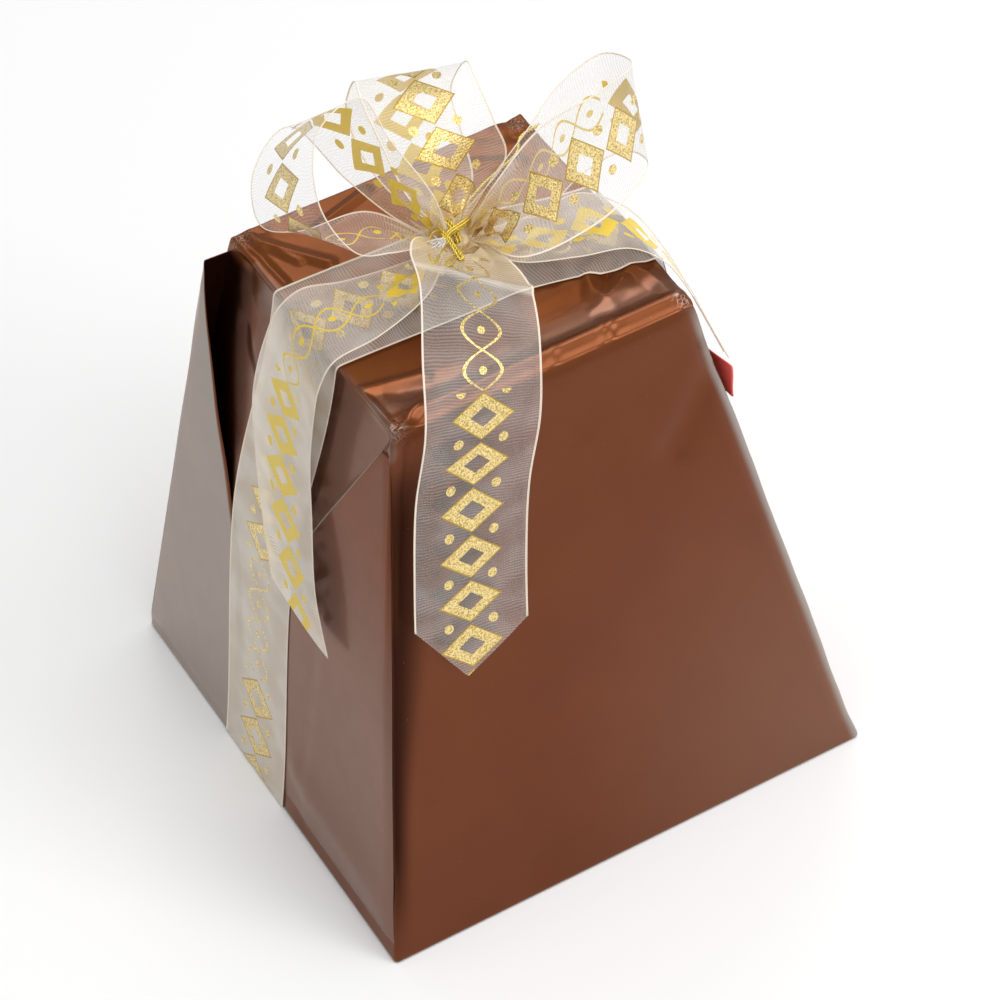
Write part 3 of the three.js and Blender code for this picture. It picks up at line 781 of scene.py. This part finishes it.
def front_flap(rows=130, columns=40):
    """The front flap: from the near edge of the pack to the slanted edge, just off the face."""
    z = np.linspace(9, 225, rows)[:, None]
    side = half_side(z)
    s = np.linspace(0, 1, columns)[None] ** 0.7
    y = (1.4 - side) * (1 - s) + flap_edge(z) * s
    under_band = smooth(-34, -26, y) * smooth(162, 144, z)
    lift = 0.55 * smooth(0, 7, y + side) * (1 - 0.75 * under_band)
    lift = lift - 0.35 * (1 - smooth(9, 16, z)) + 0.5 * s**6 * smooth(150, 170, z)
    x = -side - end_ridge(y, z) * smooth(0, 14, z) - lift
    return np.stack([x, y, np.broadcast_to(z, x.shape)], -1)


def cut_edge_tone(z):
    """The front flap's painted light: a little pale low down, a silvery highlight on its slanted cut edge."""
    tone = -0.14 * smooth(190, 80, z)
    tone[:, -1] -= smooth(140, 156, z[:, -1])
    return np.concatenate([tone, tone])


rear = rear_flap()[:, ::-1]
front = front_flap()
# the rear flap's outer side gets the same painted reflection of the pale floor
painted_silver = -end_floor_reflection(rear[..., 1])
painted_silver[:, -2:] = 0.2        # its free edge is darker
# painted shade on the rear flap's inner side, inside the pocket
rear_tone = np.concatenate([np.ones_like(painted_silver), painted_silver])      # dark inside the pocket
for name, grid, tone in (("rear_flap_film", rear, rear_tone),
                         ("front_flap_film", front, cut_edge_tone(front[..., 2]))):
    flap = make_mesh(name, *slab(grid, FILM_THICKNESS), materials=[film], tone=tone)
    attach(flap, "root")
    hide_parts("wrapped_pack")
print("flaps ready")

# %% [markdown]
# ## Organza
#
# The ribbon is organza: a sheer, crisp net of fine yarn, with a thicker thread along each edge.
# One thin layer lets through most of what is behind it, and where layers cross they add up to a
# milky white. The ornament is gold foil on one side, and its glue shows flat yellow on the other.
# One group weaves, the other draws the ornament. Where the ribbon is gathered to 1/n of its
# width, light passes n times as much yarn, so what is let through is raised to the power n. The
# attribute `gather` is n less 1, and `dense` makes the cloth cover more and look whiter: partly
# denser cloth, partly painted light where it lies in the light.

# %% Weave group
WEFT_PITCH, WARP_PITCH = 1.15, 0.7      # from yarn to yarn, along and across the ribbon
EDGE_BAND = 0.6                         # width of the close weave along each edge
weave_group, wires, given, result = new_group("organza_weave", ["Along", "Across"],
                                              ["Threads", "Shimmer", "Selvedge"])
along, across = given.outputs["Along"], given.outputs["Across"]
cloud = wires.node("ShaderNodeCombineXYZ", {0: wires.mul(along, 0.07), 1: wires.mul(across, 0.05)})
uneven = wires.noise(cloud.outputs[0], 1.0, 1)
wavy = wires.add(along, wires.mul(uneven, 6))
weft = wires.add(wires.mul(wires.sine(wavy, WEFT_PITCH), 0.5), 0.5)
warp = wires.add(wires.mul(wires.sine(across, WARP_PITCH), 0.5), 0.5)
threads = wires.add(wires.mul(weft, 0.65), wires.mul(warp, 0.35))
shimmer = wires.step(uneven, 0.32, 0.68)
edge = wires.either(wires.less(across, EDGE_BAND), wires.less(wires.sub(RIBBON_WIDTH, across), EDGE_BAND))
for name, value in (("Threads", threads), ("Shimmer", shimmer), ("Selvedge", edge)):
    wires.feed(result, name, value)

# %% Ornament group
REPEAT, BOLD = 240.0, 180.0     # length of one repeat, and the part of it with bold lozenges
FINE = REPEAT - BOLD            # the rest has a twin vine
PITCH = BOLD / 9
LOZENGE, HOLE = (9.6, 14.0), (4.0, 5.8)     # half-lengths along and across
DOT_OFF, DOT_SQUARE = 9.8, 4.4  # a dot's distance from the middle line, and its radius squared
SWING, VINE = 8.0, 0.75         # how far a vine swings out, and half its thickness
BERRY_SQUARE = 2.6              # the berries' radius squared
RIM = 0.93                      # where the lozenge's darker rim starts

ornament_group, wires, given, result = new_group("foil_ornament", ["Along", "Across"], ["Foil", "Rim"])
phase = wires.repeat(given.outputs["Along"], REPEAT)
off = wires.sub(given.outputs["Across"], RIBBON_WIDTH / 2)
from_axis = wires.size(off)
in_cell = wires.size(wires.sub(wires.repeat(phase, PITCH), PITCH / 2))
bold_part = wires.less(phase, BOLD)
reach, hole = (wires.add(wires.mul(in_cell, 1 / shape[0]), wires.mul(from_axis, 1 / shape[1]))
               for shape in (LOZENGE, HOLE))
lozenge = wires.both(wires.less(reach, 1.0), wires.less(1.0, hole))
from_dot = wires.add(wires.square(wires.sub(in_cell, PITCH / 2)), wires.square(wires.sub(from_axis, DOT_OFF)))
bold = wires.both(bold_part, wires.either(lozenge, wires.less(from_dot, DOT_SQUARE)))
into = wires.sub(phase, BOLD)
swing = wires.mul(wires.sine(into, FINE / 2), SWING)
vine, twin = (wires.less(wires.size(gap), VINE) for gap in (wires.sub(off, swing), wires.add(off, swing)))
from_node = wires.size(wires.sub(wires.repeat(into, FINE / 4), FINE / 8))
berry = wires.less(wires.add(wires.square(from_node), wires.square(off)), BERRY_SQUARE)
fine = wires.both(wires.less(BOLD + 2, phase), wires.either(wires.either(vine, twin), berry))
rim = wires.both(wires.both(bold_part, wires.less(RIM, reach)), wires.less(reach, 1.0))
for name, value in (("Foil", wires.either(bold, fine)), ("Rim", rim)):
    wires.feed(result, name, value)

# %% Organza material
ribbon_cloth, wires, shader = new_material("organza")
uv = wires.node("ShaderNodeSeparateXYZ", {0: wires.node("ShaderNodeUVMap", uv_map="UVMap").outputs[0]})
across, along = (wires.mul(uv.outputs[k], 1 / MM) for k in (0, 1))
weave, ornament = (wires.node("ShaderNodeGroup", {"Along": along, "Across": across}, node_tree=group).outputs
                   for group in (weave_group, ornament_group))
dense, gather = wires.mark("dense"), wires.mark("gather")
behind = wires.node("ShaderNodeNewGeometry").outputs["Backfacing"]
glitter = wires.noise(wires.place(), 1500, 2, 0.7)
gold = wires.mix(wires.step(glitter, 0.34, 0.58), (0.42, 0.27, 0.05, 1), (0.97, 0.77, 0.35, 1))
gold = wires.mix(ornament["Rim"], gold, (0.50, 0.32, 0.05, 1))
foil = wires.mix(behind, gold, (0.83, 0.60, 0.045, 1))
thin = wires.mix(weave["Shimmer"], (0.76, 0.71, 0.65, 1), (0.88, 0.85, 0.81, 1))
full = wires.mix(weave["Shimmer"], (0.93, 0.81, 0.65, 1), (0.99, 0.92, 0.81, 1))
# whiter where dense: partly denser cloth, partly painted light
net = wires.mix(wires.both(dense, 1.0), thin, full)
net = wires.mix(wires.step(gather, 0.05, 1.2), net, (0.84, 0.68, 0.44, 1))
net = wires.mix(weave["Selvedge"], net, (0.95, 0.84, 0.71, 1))
wires.feed(shader, "Base Color", wires.mix(ornament["Foil"], net, foil))
on_front = wires.mul(ornament["Foil"], wires.sub(1.0, behind))
wires.feed(shader, "Metallic", wires.mul(on_front, 0.9))
wires.feed(shader, "Roughness", wires.step(on_front, 0, 1, 0.55, 0.3))
# How much the cloth covers: a little everywhere, more on the yarns, and more where it is dense.
cover = wires.add(wires.add(0.11, wires.mul(weave["Threads"], 0.19)), wires.mul(weave["Shimmer"], 0.04))
cover = wires.both(wires.add(cover, wires.mul(dense, 0.32)), 0.98)
cover = wires.sub(1.0, wires.math("POWER", wires.sub(1.0, cover), wires.add(1.0, gather)))
cover = wires.either(cover, wires.mul(weave["Selvedge"], 0.85))
cover = wires.either(cover, wires.mul(ornament["Foil"], 0.96))
wires.feed(shader, "Alpha", wires.both(cover, 1.0))
shader.inputs["Sheen Weight"].default_value = 0.25
shader.inputs["Sheen Roughness"].default_value = 0.4
height = wires.add(wires.mul(weave["Threads"], 0.4), wires.mul(wires.mul(glitter, on_front), 1.2))
wires.relief(shader, height, 0.0002, 0.8)
print("organza ready")

# %% [markdown]
# ## Ribbons
#
# A ribbon is given by its two edges. The cloth is the straight line between them, plus pleats:
# where the ribbon is drawn together at the knot, its full width has to go somewhere, so it stands
# up in waves. Their height grows as the width shrinks. It is one thin layer with a round thread
# along each edge, which is how organza is made, and it keeps the stack of see-through layers low.


# %% Ribbon surface
PLEATS = 4
PLEAT_FILL = 0.8        # share of the spare width that the pleats take up
PLEAT_TALLEST = 2.6
FLUTTER = 0.5           # height of the slow waves along a loose ribbon


def pleated(grid, phase, fold):
    """Adds the pleats: a sine across the ribbon, as high as the spare width needs. A fold, where
    it isn't None, is one sharp crest across the ribbon at that distance from its start."""
    width = np.linalg.norm(grid[:, -1] - grid[:, 0], axis=-1)
    normal = unit(np.cross(np.gradient(grid, axis=0), np.gradient(grid, axis=1)))
    s = np.linspace(0, 1, grid.shape[1])[None]
    spare = np.clip(RIBBON_WIDTH - width, 0, None)
    height = np.minimum(PLEAT_FILL * spare / (4 * PLEATS), PLEAT_TALLEST)[:, None]
    walk = length_along(grid[:, grid.shape[1] // 2])[:, None]
    wave = height * np.sin(2 * math.pi * (PLEATS * s + phase + 0.15 * np.sin(walk / 23)))
    flutter = FLUTTER * np.sin(walk / 11 + 2.2 * s) * np.sin(math.pi * s) ** 0.5
    crest = 0.0 if fold is None else 1.3 * bump(walk, fold, 2.3) * smooth(0.05, 0.3, s)
    return grid + normal * (wave + flutter + crest)[..., None]


def gathering(grid):
    """How much narrower each row is than the flat ribbon: 0 at full width, 1 at half of it."""
    width = np.linalg.norm(np.diff(grid, axis=1), axis=-1).sum(1)
    return np.clip(RIBBON_WIDTH / width - 1, 0, 4)[:, None]


def ribbon(name, grid, along, node, dense, gather=0.0, once_round=None):
    """A ribbon from a grid: its cloth and its two edge threads, laid out flat in its UV map. One
    that closes on itself also gets its length once round."""
    closed = once_round is not None
    rows, columns = grid.shape[:2]
    across = np.broadcast_to(np.linspace(0, RIBBON_WIDTH, columns), (rows, columns))
    if closed:
        along = np.concatenate([along, along[:1] + once_round])
        across = np.concatenate([across, across[:1]])
    layout = np.stack([across, along], -1)
    uv = [layout.reshape(-1, 2)[cells(*layout.shape[:2])]]
    parts = [(grid.reshape(-1, 3), cells(rows, columns, along=closed))]
    gather, dense = ([np.broadcast_to(mark, (rows, columns)).ravel()] for mark in (gather, dense))
    for edge in (0, -1):
        points, faces = tube(grid[:, edge], SELVEDGE, closed=closed)
        parts.append((points, faces))
        uv.append(np.zeros((len(faces), 4, 2)))
        gather.append(np.zeros(len(points)))
        dense.append(np.zeros(len(points)))
    piece = make_mesh(name, *join(parts), uv=np.concatenate(uv), materials=[ribbon_cloth],
                      gather=np.concatenate(gather), dense=np.concatenate(dense))
    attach(piece, "root")
    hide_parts(node)
    return piece


# %% [markdown]
# ## The band
#
# One length of ribbon goes once round the pack, over the top and under the foot. Its path is four
# straight runs with small bends, and it wanders sideways where the photograph shows it. A flat
# curve bevel could carry it, but here each row of the grid is known to lie flat on the film.

# %% Band path
BAND_GAP = 0.7          # from the film to the middle of the ribbon
TAG_GAP = 2.2           # the same on the far end, where the card lies under it
BEND = 2.4              # length of the bend at each corner
# How far the band's middle is off the pack's: share of the way round from the left foot, and mm.
BAND_SWAY = [(0, 11), (0.14, 20), (0.29, 2), (0.37, 0), (0.45, -13), (0.6, -8), (0.73, -2), (1, 11)]
lean = math.cos(math.atan(SLOPE))
foot_z, roof_z = 0.65, HEIGHT + BAND_GAP
left_x, right_x = -BASE / 2 - BAND_GAP / lean, BASE / 2 + TAG_GAP / lean
corners = np.array([(left_x + SLOPE * foot_z, foot_z), (left_x + SLOPE * roof_z, roof_z),
                    (right_x - SLOPE * roof_z, roof_z), (right_x - SLOPE * foot_z, foot_z)])
before = corners + unit(np.roll(corners, 1, 0) - corners) * BEND
after = corners + unit(np.roll(corners, -1, 0) - corners) * BEND
t = np.linspace(0, 1, 7)[:, None]
bends = [(1 - t) ** 2 * before[k] + 2 * t * (1 - t) * corners[k] + t**2 * after[k] for k in range(4)]
outline = np.vstack(bends + [before[:1]])
walk = length_along(outline)
BAND_LENGTH = walk[-1]
BAND_STEPS, BAND_COLUMNS = 420, 21
go = np.linspace(0, BAND_LENGTH, BAND_STEPS, endpoint=False)
go = np.unique(np.concatenate([go, walk[:-1]]))
middle = BAND_SWAY[0][1] + sum((high - low) * smooth(start, stop, go / BAND_LENGTH)
                               for (start, low), (stop, high) in zip(BAND_SWAY, BAND_SWAY[1:]))
band_x, band_z = (np.interp(go, walk, outline[:, k]) for k in (0, 1))
sideways = np.linspace(1, -1, BAND_COLUMNS) * RIBBON_WIDTH / 2
band_grid = np.stack(np.broadcast_arrays(band_x[:, None], middle[:, None] - sideways, band_z[:, None]), -1)
over_top = smooth(HEIGHT - 2, HEIGHT, band_grid[..., 2])
band_grid[..., 2] += over_top * np.clip(top_folds(band_grid[..., 0], band_grid[..., 1]), 0, 3)
BAND_PRINT = 130.0      # where in its repeat the print starts
band_along = np.broadcast_to(go[:, None], band_grid.shape[:2]) + BAND_PRINT
band_dense = 0.25 + 1.05 * smooth(238, 226, band_grid[..., 2])
band = ribbon("band_ribbon", band_grid, band_along, "ribbon_band", band_dense, once_round=BAND_LENGTH)
print("band: %.0f mm round" % BAND_LENGTH)

# %% [markdown]
# ## The bow
#
# The bow has three loops and three loose tails. Each list holds pairs of points, one on each edge
# of the ribbon, from the knot outwards. The solid model uses the same places. A cloth simulation
# would let the loops sag. Organza is stiff enough to stand, so they are curves through points.

# %% Places along each ribbon of the bow
LOOP_LEFT = [
    ((-6, -7, 260), (-7, 1, 252)), ((-14, -12, 289), (-19, 16, 260)), ((-22, 2, 308), (-28, 32, 270)),
    ((-25, 17, 319), (-40, 53, 287)), ((-46, 12, 316), (-60, 45, 279)), ((-56, -4, 298), (-65, 33, 265)),
    ((-48, -13, 277), (-50, 33, 254)), ((-32, -10, 266), (-23, 28, 254)), ((-8, -6, 255), (-7, 4, 247)),
]
LOOP_CENTRE = [
    ((-5, -2, 258), (4, 1, 257)), ((-16, 4, 275), (30, 12, 268)), ((-19, 15, 292), (29, 18, 282)),
    ((-20, 28, 307), (29, 31, 294)), ((-17, 39, 308), (31, 41, 294)), ((-20, 43, 293), (26, 46, 279)),
    ((-20, 33, 277), (24, 36, 265)), ((-16, 19, 266), (20, 22, 256)), ((-5, 2, 254), (4, 2, 253)),
]
LOOP_RIGHT = [
    ((4, -5, 259), (5, -6, 250)), ((12, -12, 280), (15, -24, 251)), ((32, -12, 297), (45, -25, 252)),
    ((59, -13, 304), (67, -19, 255)), ((76, -7, 305), (80, -8, 255)), ((71, 5, 304), (77, 3, 254)),
    ((50, 3, 300), (58, 4, 251)), ((31, -6, 294), (36, -2, 246)), ((15, -7, 280), (23, -3, 250)),
    ((4, -2, 258), (5, -1, 251)),
]
TAIL_FRONT = [
    ((-6, -5, 252), (4, -5, 249)), ((-21, -9, 267), (10, -18, 249)), ((-29, -20, 273), (12, -32, 247)),
    ((-35, -38, 273), (6, -50, 247)), ((-47, -59, 257), (-1, -64, 239)), ((-55, -72, 235), (-7, -72, 220)),
    ((-64, -76, 205), (-16, -76, 192)), ((-72, -84, 170), (-23, -82, 158)),
    ((-79, -92, 128), (-30, -91, 116)),
]
TAIL_LEFT = [
    ((-8, 0, 246), (-9, -8, 248)), ((-23, 9, 240), (-25, -23, 251)), ((-43, 13, 240), (-51, -32, 251)),
    ((-59, 16, 242), (-69, -30, 246)), ((-68, 17, 237), (-75, -28, 235)), ((-74, 21, 221), (-78, -25, 217)),
    ((-80, 27, 190), (-81, -22, 190)), ((-83, 26, 161), (-84, -24, 166)), ((-90, 11, 120), (-91, -34, 137)),
    ((-94, -2, 92), (-94, -45, 112)),
]
TAIL_REAR = [
    ((4, 2, 245), (3, -5, 248)), ((17, 8, 239), (13, -23, 248)), ((38, 7, 238), (33, -35, 250)),
    ((56, 4, 242), (52, -42, 250)), ((71, -5, 234), (63, -49, 242)), ((84, -14, 210), (69, -57, 229)),
    ((89, -26, 190), (73, -66, 214)), ((92, -40, 174), (75, -75, 204)),
]


# %% Loops and tails
def bow_grid(stations, cut, rows=150, columns=48):
    """The cloth between two edges, and how far along it each point lies. cut(s) trims the end."""
    edges = np.asarray(stations, float)
    s = np.linspace(0, 1, columns + 1)[None, :, None]
    t = np.linspace(0, 1, rows + 1)[:, None] * np.broadcast_to(cut(s[..., 0]), (1, columns + 1))
    grid = curve(edges[:, 0], t) * (1 - s) + curve(edges[:, 1], t) * s
    fine = np.linspace(0, 1, 400)
    travelled = length_along((curve(edges[:, 0], fine) + curve(edges[:, 1], fine)) / 2)
    return grid, np.interp(t, fine, travelled)


def cut_to(*shares):
    """How an end is trimmed: shares of the whole length at places spaced evenly across it."""
    return lambda s: np.interp(s, np.linspace(0, 1, len(shares)), shares)


def cut_front(s):
    """A pointed end: the edges are shorter than a point a little left of the middle."""
    return np.interp(s, (0, 0.45, 1), (0.925, 1, 0.945))


# Name, node and places; how the end is cut, the shift of the pleats, and where the print starts;
# how it is held, whether its printed face is turned, and how dense it is on top and lower down.
BOW = [
    ("loop_left_ribbon", "bow_loop_left", LOOP_LEFT, cut_to(1, 1), 0.0, 45, "folded", True, 0, 0),
    ("loop_centre_ribbon", "bow_loop_centre", LOOP_CENTRE, cut_to(1, 1), 0.2, 0, "folded", True, 0, 0),
    ("loop_right_ribbon", "bow_loop_right", LOOP_RIGHT, cut_to(1, 1), 0.4, 75, "folded", True, 0, 0),
    ("tail_front_ribbon", "bow_tail_front", TAIL_FRONT, cut_front, 0.1, 161, "draped", False, 0, 0),
    ("tail_left_ribbon", "bow_tail_left", TAIL_LEFT, cut_to(0.93, 1), 0.3, 152, "draped", True, 0.15, 1.3),
    ("tail_rear_ribbon", "bow_tail_rear", TAIL_REAR, cut_to(1, 0.97), 0.6, 0, "draped", False, 0.3, 0.7),
]
HOODS = {"bow_tail_front": 33.5}        # this tail is folded over so far from the knot
HOOD_GATHER, HOOD_DENSE = 1.3, 0.8      # what the fold adds to the cloth behind it and on it
for name, node, stations, cut, phase, start, held, turned, dense_top, dense_low in BOW:
    grid, along = bow_grid(stations, cut)
    gather, hood = gathering(grid), HOODS.get(node)
    grid = pleated(grid, phase, hood)
    if turned:
        grid, along = grid[:, ::-1], along[:, ::-1]
    dense = dense_top + (dense_low - dense_top) * smooth(242, 224, grid[..., 2])
    if hood is not None:
        gather = gather + HOOD_GATHER * smooth(hood, hood - 4, along)
        # the fold's crest is whiter: partly cloth seen edge-on, partly a painted highlight
        dense = dense + HOOD_DENSE * bump(along, hood, 1.6)
    piece = ribbon(name, grid, along + start, node, dense, gather)

# %% [markdown]
# ## The knot and its tie
#
# All the ribbons meet in a gathered lump. The gold cord goes round its waist twice, and the tied
# ends run over the top as a bundle with a frayed tuft and a narrow loop. Three loose gold threads
# stand in front. The lump could be sculpted. Here it is a ball whose girth is a sum of waves, drawn
# in at the waist, so the gathers run towards the tie as drawn cloth does.

# %% Knot
KNOT_CENTRE = np.array([-3, -2, 249.4])
KNOT_RADII = np.array([7, 7.2, 11.6])
KNOT_PINCH = 0.16       # how far the tie draws in its waist
KNOT_SWELL = 0.04       # how far the gathers stand out there
turn = np.linspace(0, 2 * math.pi, 144, endpoint=False)[None]
rise = np.linspace(-math.pi / 2, math.pi / 2, 73)[1:-1][:, None]
gathers = 0.09 * np.sin(9 * turn + 3 * np.sin(rise * 2)) + 0.05 * np.sin(17 * turn - 2 * rise)
girth = np.cos(rise) * (1 - KNOT_PINCH * bump(np.sin(rise), 0, 0.35))
girth = girth * (1 + gathers * np.minimum(1, 3 * np.cos(rise)))
ball = np.stack(np.broadcast_arrays(np.sin(rise), girth * np.cos(turn), girth * np.sin(turn)), -1)
knot_grid = ball * KNOT_RADII + KNOT_CENTRE
rows, columns = knot_grid.shape[:2]
pole = np.array([KNOT_RADII[0], 0, 0])
left_pole, right_pole = (np.tile(KNOT_CENTRE + end * pole, (1, columns, 1)) for end in (-1, 1))
knot_points = np.concatenate([left_pole, knot_grid, right_pole])
knot = make_mesh("knot_gathers", knot_points, cells(rows + 2, columns, around=True)[:, ::-1])

knot_cloth, wires, shader = new_material("gathered_organza")
place = wires.place()
yarn = wires.noise(place, 1500, 3, 0.7)
blotches = wires.noise(place, 130, 2)
# darker and lighter beige in random blotches
wires.feed(shader, "Base Color", wires.mix(blotches, (0.60, 0.44, 0.22, 1), (0.84, 0.70, 0.46, 1)))
wires.feed(shader, "Roughness", wires.step(yarn, 0.3, 0.7, 0.45, 0.65))
wires.feed(shader, "Alpha", wires.step(yarn, 0.2, 0.8, 0.70, 0.95))
wires.relief(shader, yarn, 0.0003, 0.6)
knot.data.materials.append(knot_cloth)
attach(knot, "root")
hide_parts("bow_knot")

# %% Tie
TIE_GAP = 0.35          # from the gathers to the cord round them
STRAND_RADIUS, STRAND_PITCH = 0.62, 2.6
THREAD_RADIUS, THREAD_PITCH = 0.32, 1.6
BUNDLE_STRANDS, BUNDLE_RADIUS = 5, 0.85
BUNDLE_ROUTE = np.array([
    (7, 1, 257), (4.1, -3.1, 259.5), (-0.9, -6, 261.1), (-5.3, -8, 262.4), (-9.6, -11.2, 263.9),
    (-12.6, -14, 265.4),
])
LOOP_ROUTE = [
    (-9.9, -6.7, 265.7), (-9.7, -10.8, 265.7), (-9.3, -14.5, 264.7), (-9.1, -18.6, 263.2),
    (-9, -21.2, 262.4), (-8.9, -23, 262.2), (-10.5, -23.5, 262.6), (-10.4, -20.7, 263),
    (-10.1, -16.7, 263.8), (-10.2, -13.2, 264.7), (-10.6, -10, 265.3),
]
THREADS = [
    [(-5, -6, 262.5), (-7.8, -8.1, 264.7), (-10, -7.5, 264.9), (-13.4, -8.2, 265.6),
     (-17.3, -12.1, 265.5), (-22.2, -22.2, 269.1), (-22.9, -26.5, 269.2)],
    [(-6, -9, 262.6), (-9.6, -13.4, 264.1), (-13, -15.8, 264.1), (-17.3, -20.6, 266.4),
     (-22.3, -26.9, 269.2)],
    [(-8.1, -19.7, 262), (-10.5, -20.2, 262.6), (-14.2, -22.4, 264.4), (-17.3, -25.2, 265.8),
     (-18.4, -27.9, 266.5), (-16.4, -27.2, 265.4), (-11, -21.8, 262.4), (-8, -20.2, 262.4)],
]
angle = np.linspace(0, 2 * math.pi, 160, endpoint=False)
reach_y, reach_z = KNOT_RADII[1:] * (1 + KNOT_SWELL - KNOT_PINCH) + TIE_GAP + CORD_RADIUS
turns = []
for side in (-1, 1):
    ring = [np.full(len(angle), side * CORD_RADIUS * 0.9), reach_y * np.cos(angle), reach_z * np.sin(angle)]
    turns.append(twisted(KNOT_CENTRE + np.stack(ring, 1), CORD_RADIUS, CORD_PITCH, closed=True))
bundle = [twisted(curve(LOOP_ROUTE, np.linspace(0, 1, 120)), STRAND_RADIUS, STRAND_PITCH)]
for k in range(BUNDLE_STRANDS):
    around = 2 * math.pi * k / BUNDLE_STRANDS
    route = BUNDLE_ROUTE + BUNDLE_RADIUS * np.array([0, math.cos(around), math.sin(around)])
    bundle.append(twisted(curve(route, np.linspace(0, 1 - 0.04 * k, 60)), STRAND_RADIUS, STRAND_PITCH))
tie = make_mesh("tie_cord", *join(turns + bundle), materials=[gold_thread])
tuft = whisker_bunch(BUNDLE_ROUTE[-1] + (1, 0.8, 0), heading=(-0.75, -0.35, 0.05), count=44, reach=6.2,
                     spread=0.36, radius=0.15)
fibres = make_mesh("tie_fibres", *tuft, materials=[white_fibre])
loose = [twisted(curve(route, np.linspace(0, 1, 80)), THREAD_RADIUS, THREAD_PITCH) for route in THREADS]
threads = make_mesh("tie_threads", *join(loose), materials=[gold_thread])
for piece in (tie, fibres, threads):
    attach(piece, "root")
    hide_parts("gold_cord_tie")
print("knot and tie ready")

# %% [markdown]
# ## The red card
#
# A small card is tucked behind the band on the far end face. It has rounded corners and curls
# away from the face along its free side. A bent cube would do. Here one grid is pushed in at its
# corners and lifted by the square of the distance from the band, and `slab` makes it thick.

# %% Card
CARD_Y, CARD_Z = (-70, -31), (181, 198)     # its reach sideways and in height
CARD_CORNER = 1.0                           # radius of its corners
CARD_THICKNESS = 0.5
CARD_STEPS = 40
v = np.linspace(-1, 1, CARD_STEPS)[:, None]
u = np.linspace(-1, 1, CARD_STEPS)[None]
half_y, half_z = (CARD_Y[1] - CARD_Y[0]) / 2, (CARD_Z[1] - CARD_Z[0]) / 2
over_y, over_z = (np.clip(np.abs(share) * half - (half - CARD_CORNER), 0, None)
                  for share, half in ((u, half_y), (v, half_z)))
pull = np.maximum(1, np.hypot(over_y, over_z) / CARD_CORNER)
y = np.sign(u) * (np.abs(u) * half_y - over_y + over_y / pull) + (CARD_Y[0] + CARD_Y[1]) / 2
z = np.sign(v) * (np.abs(v) * half_z - over_z + over_z / pull) + (CARD_Z[0] + CARD_Z[1]) / 2
free = np.clip((CARD_Y[1] - y) / (CARD_Y[1] - CARD_Y[0]), 0, 1)
lift = 0.8 + (1.7 + 2.9 * smooth(*CARD_Z, z)) * free**2
card_grid = np.stack([half_side(z) + lift, y, z], -1)
card = make_mesh("tag_card", *slab(card_grid[:, ::-1], CARD_THICKNESS), materials=[red_board])
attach(card, "root")
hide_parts("red_tag")
print("card ready")
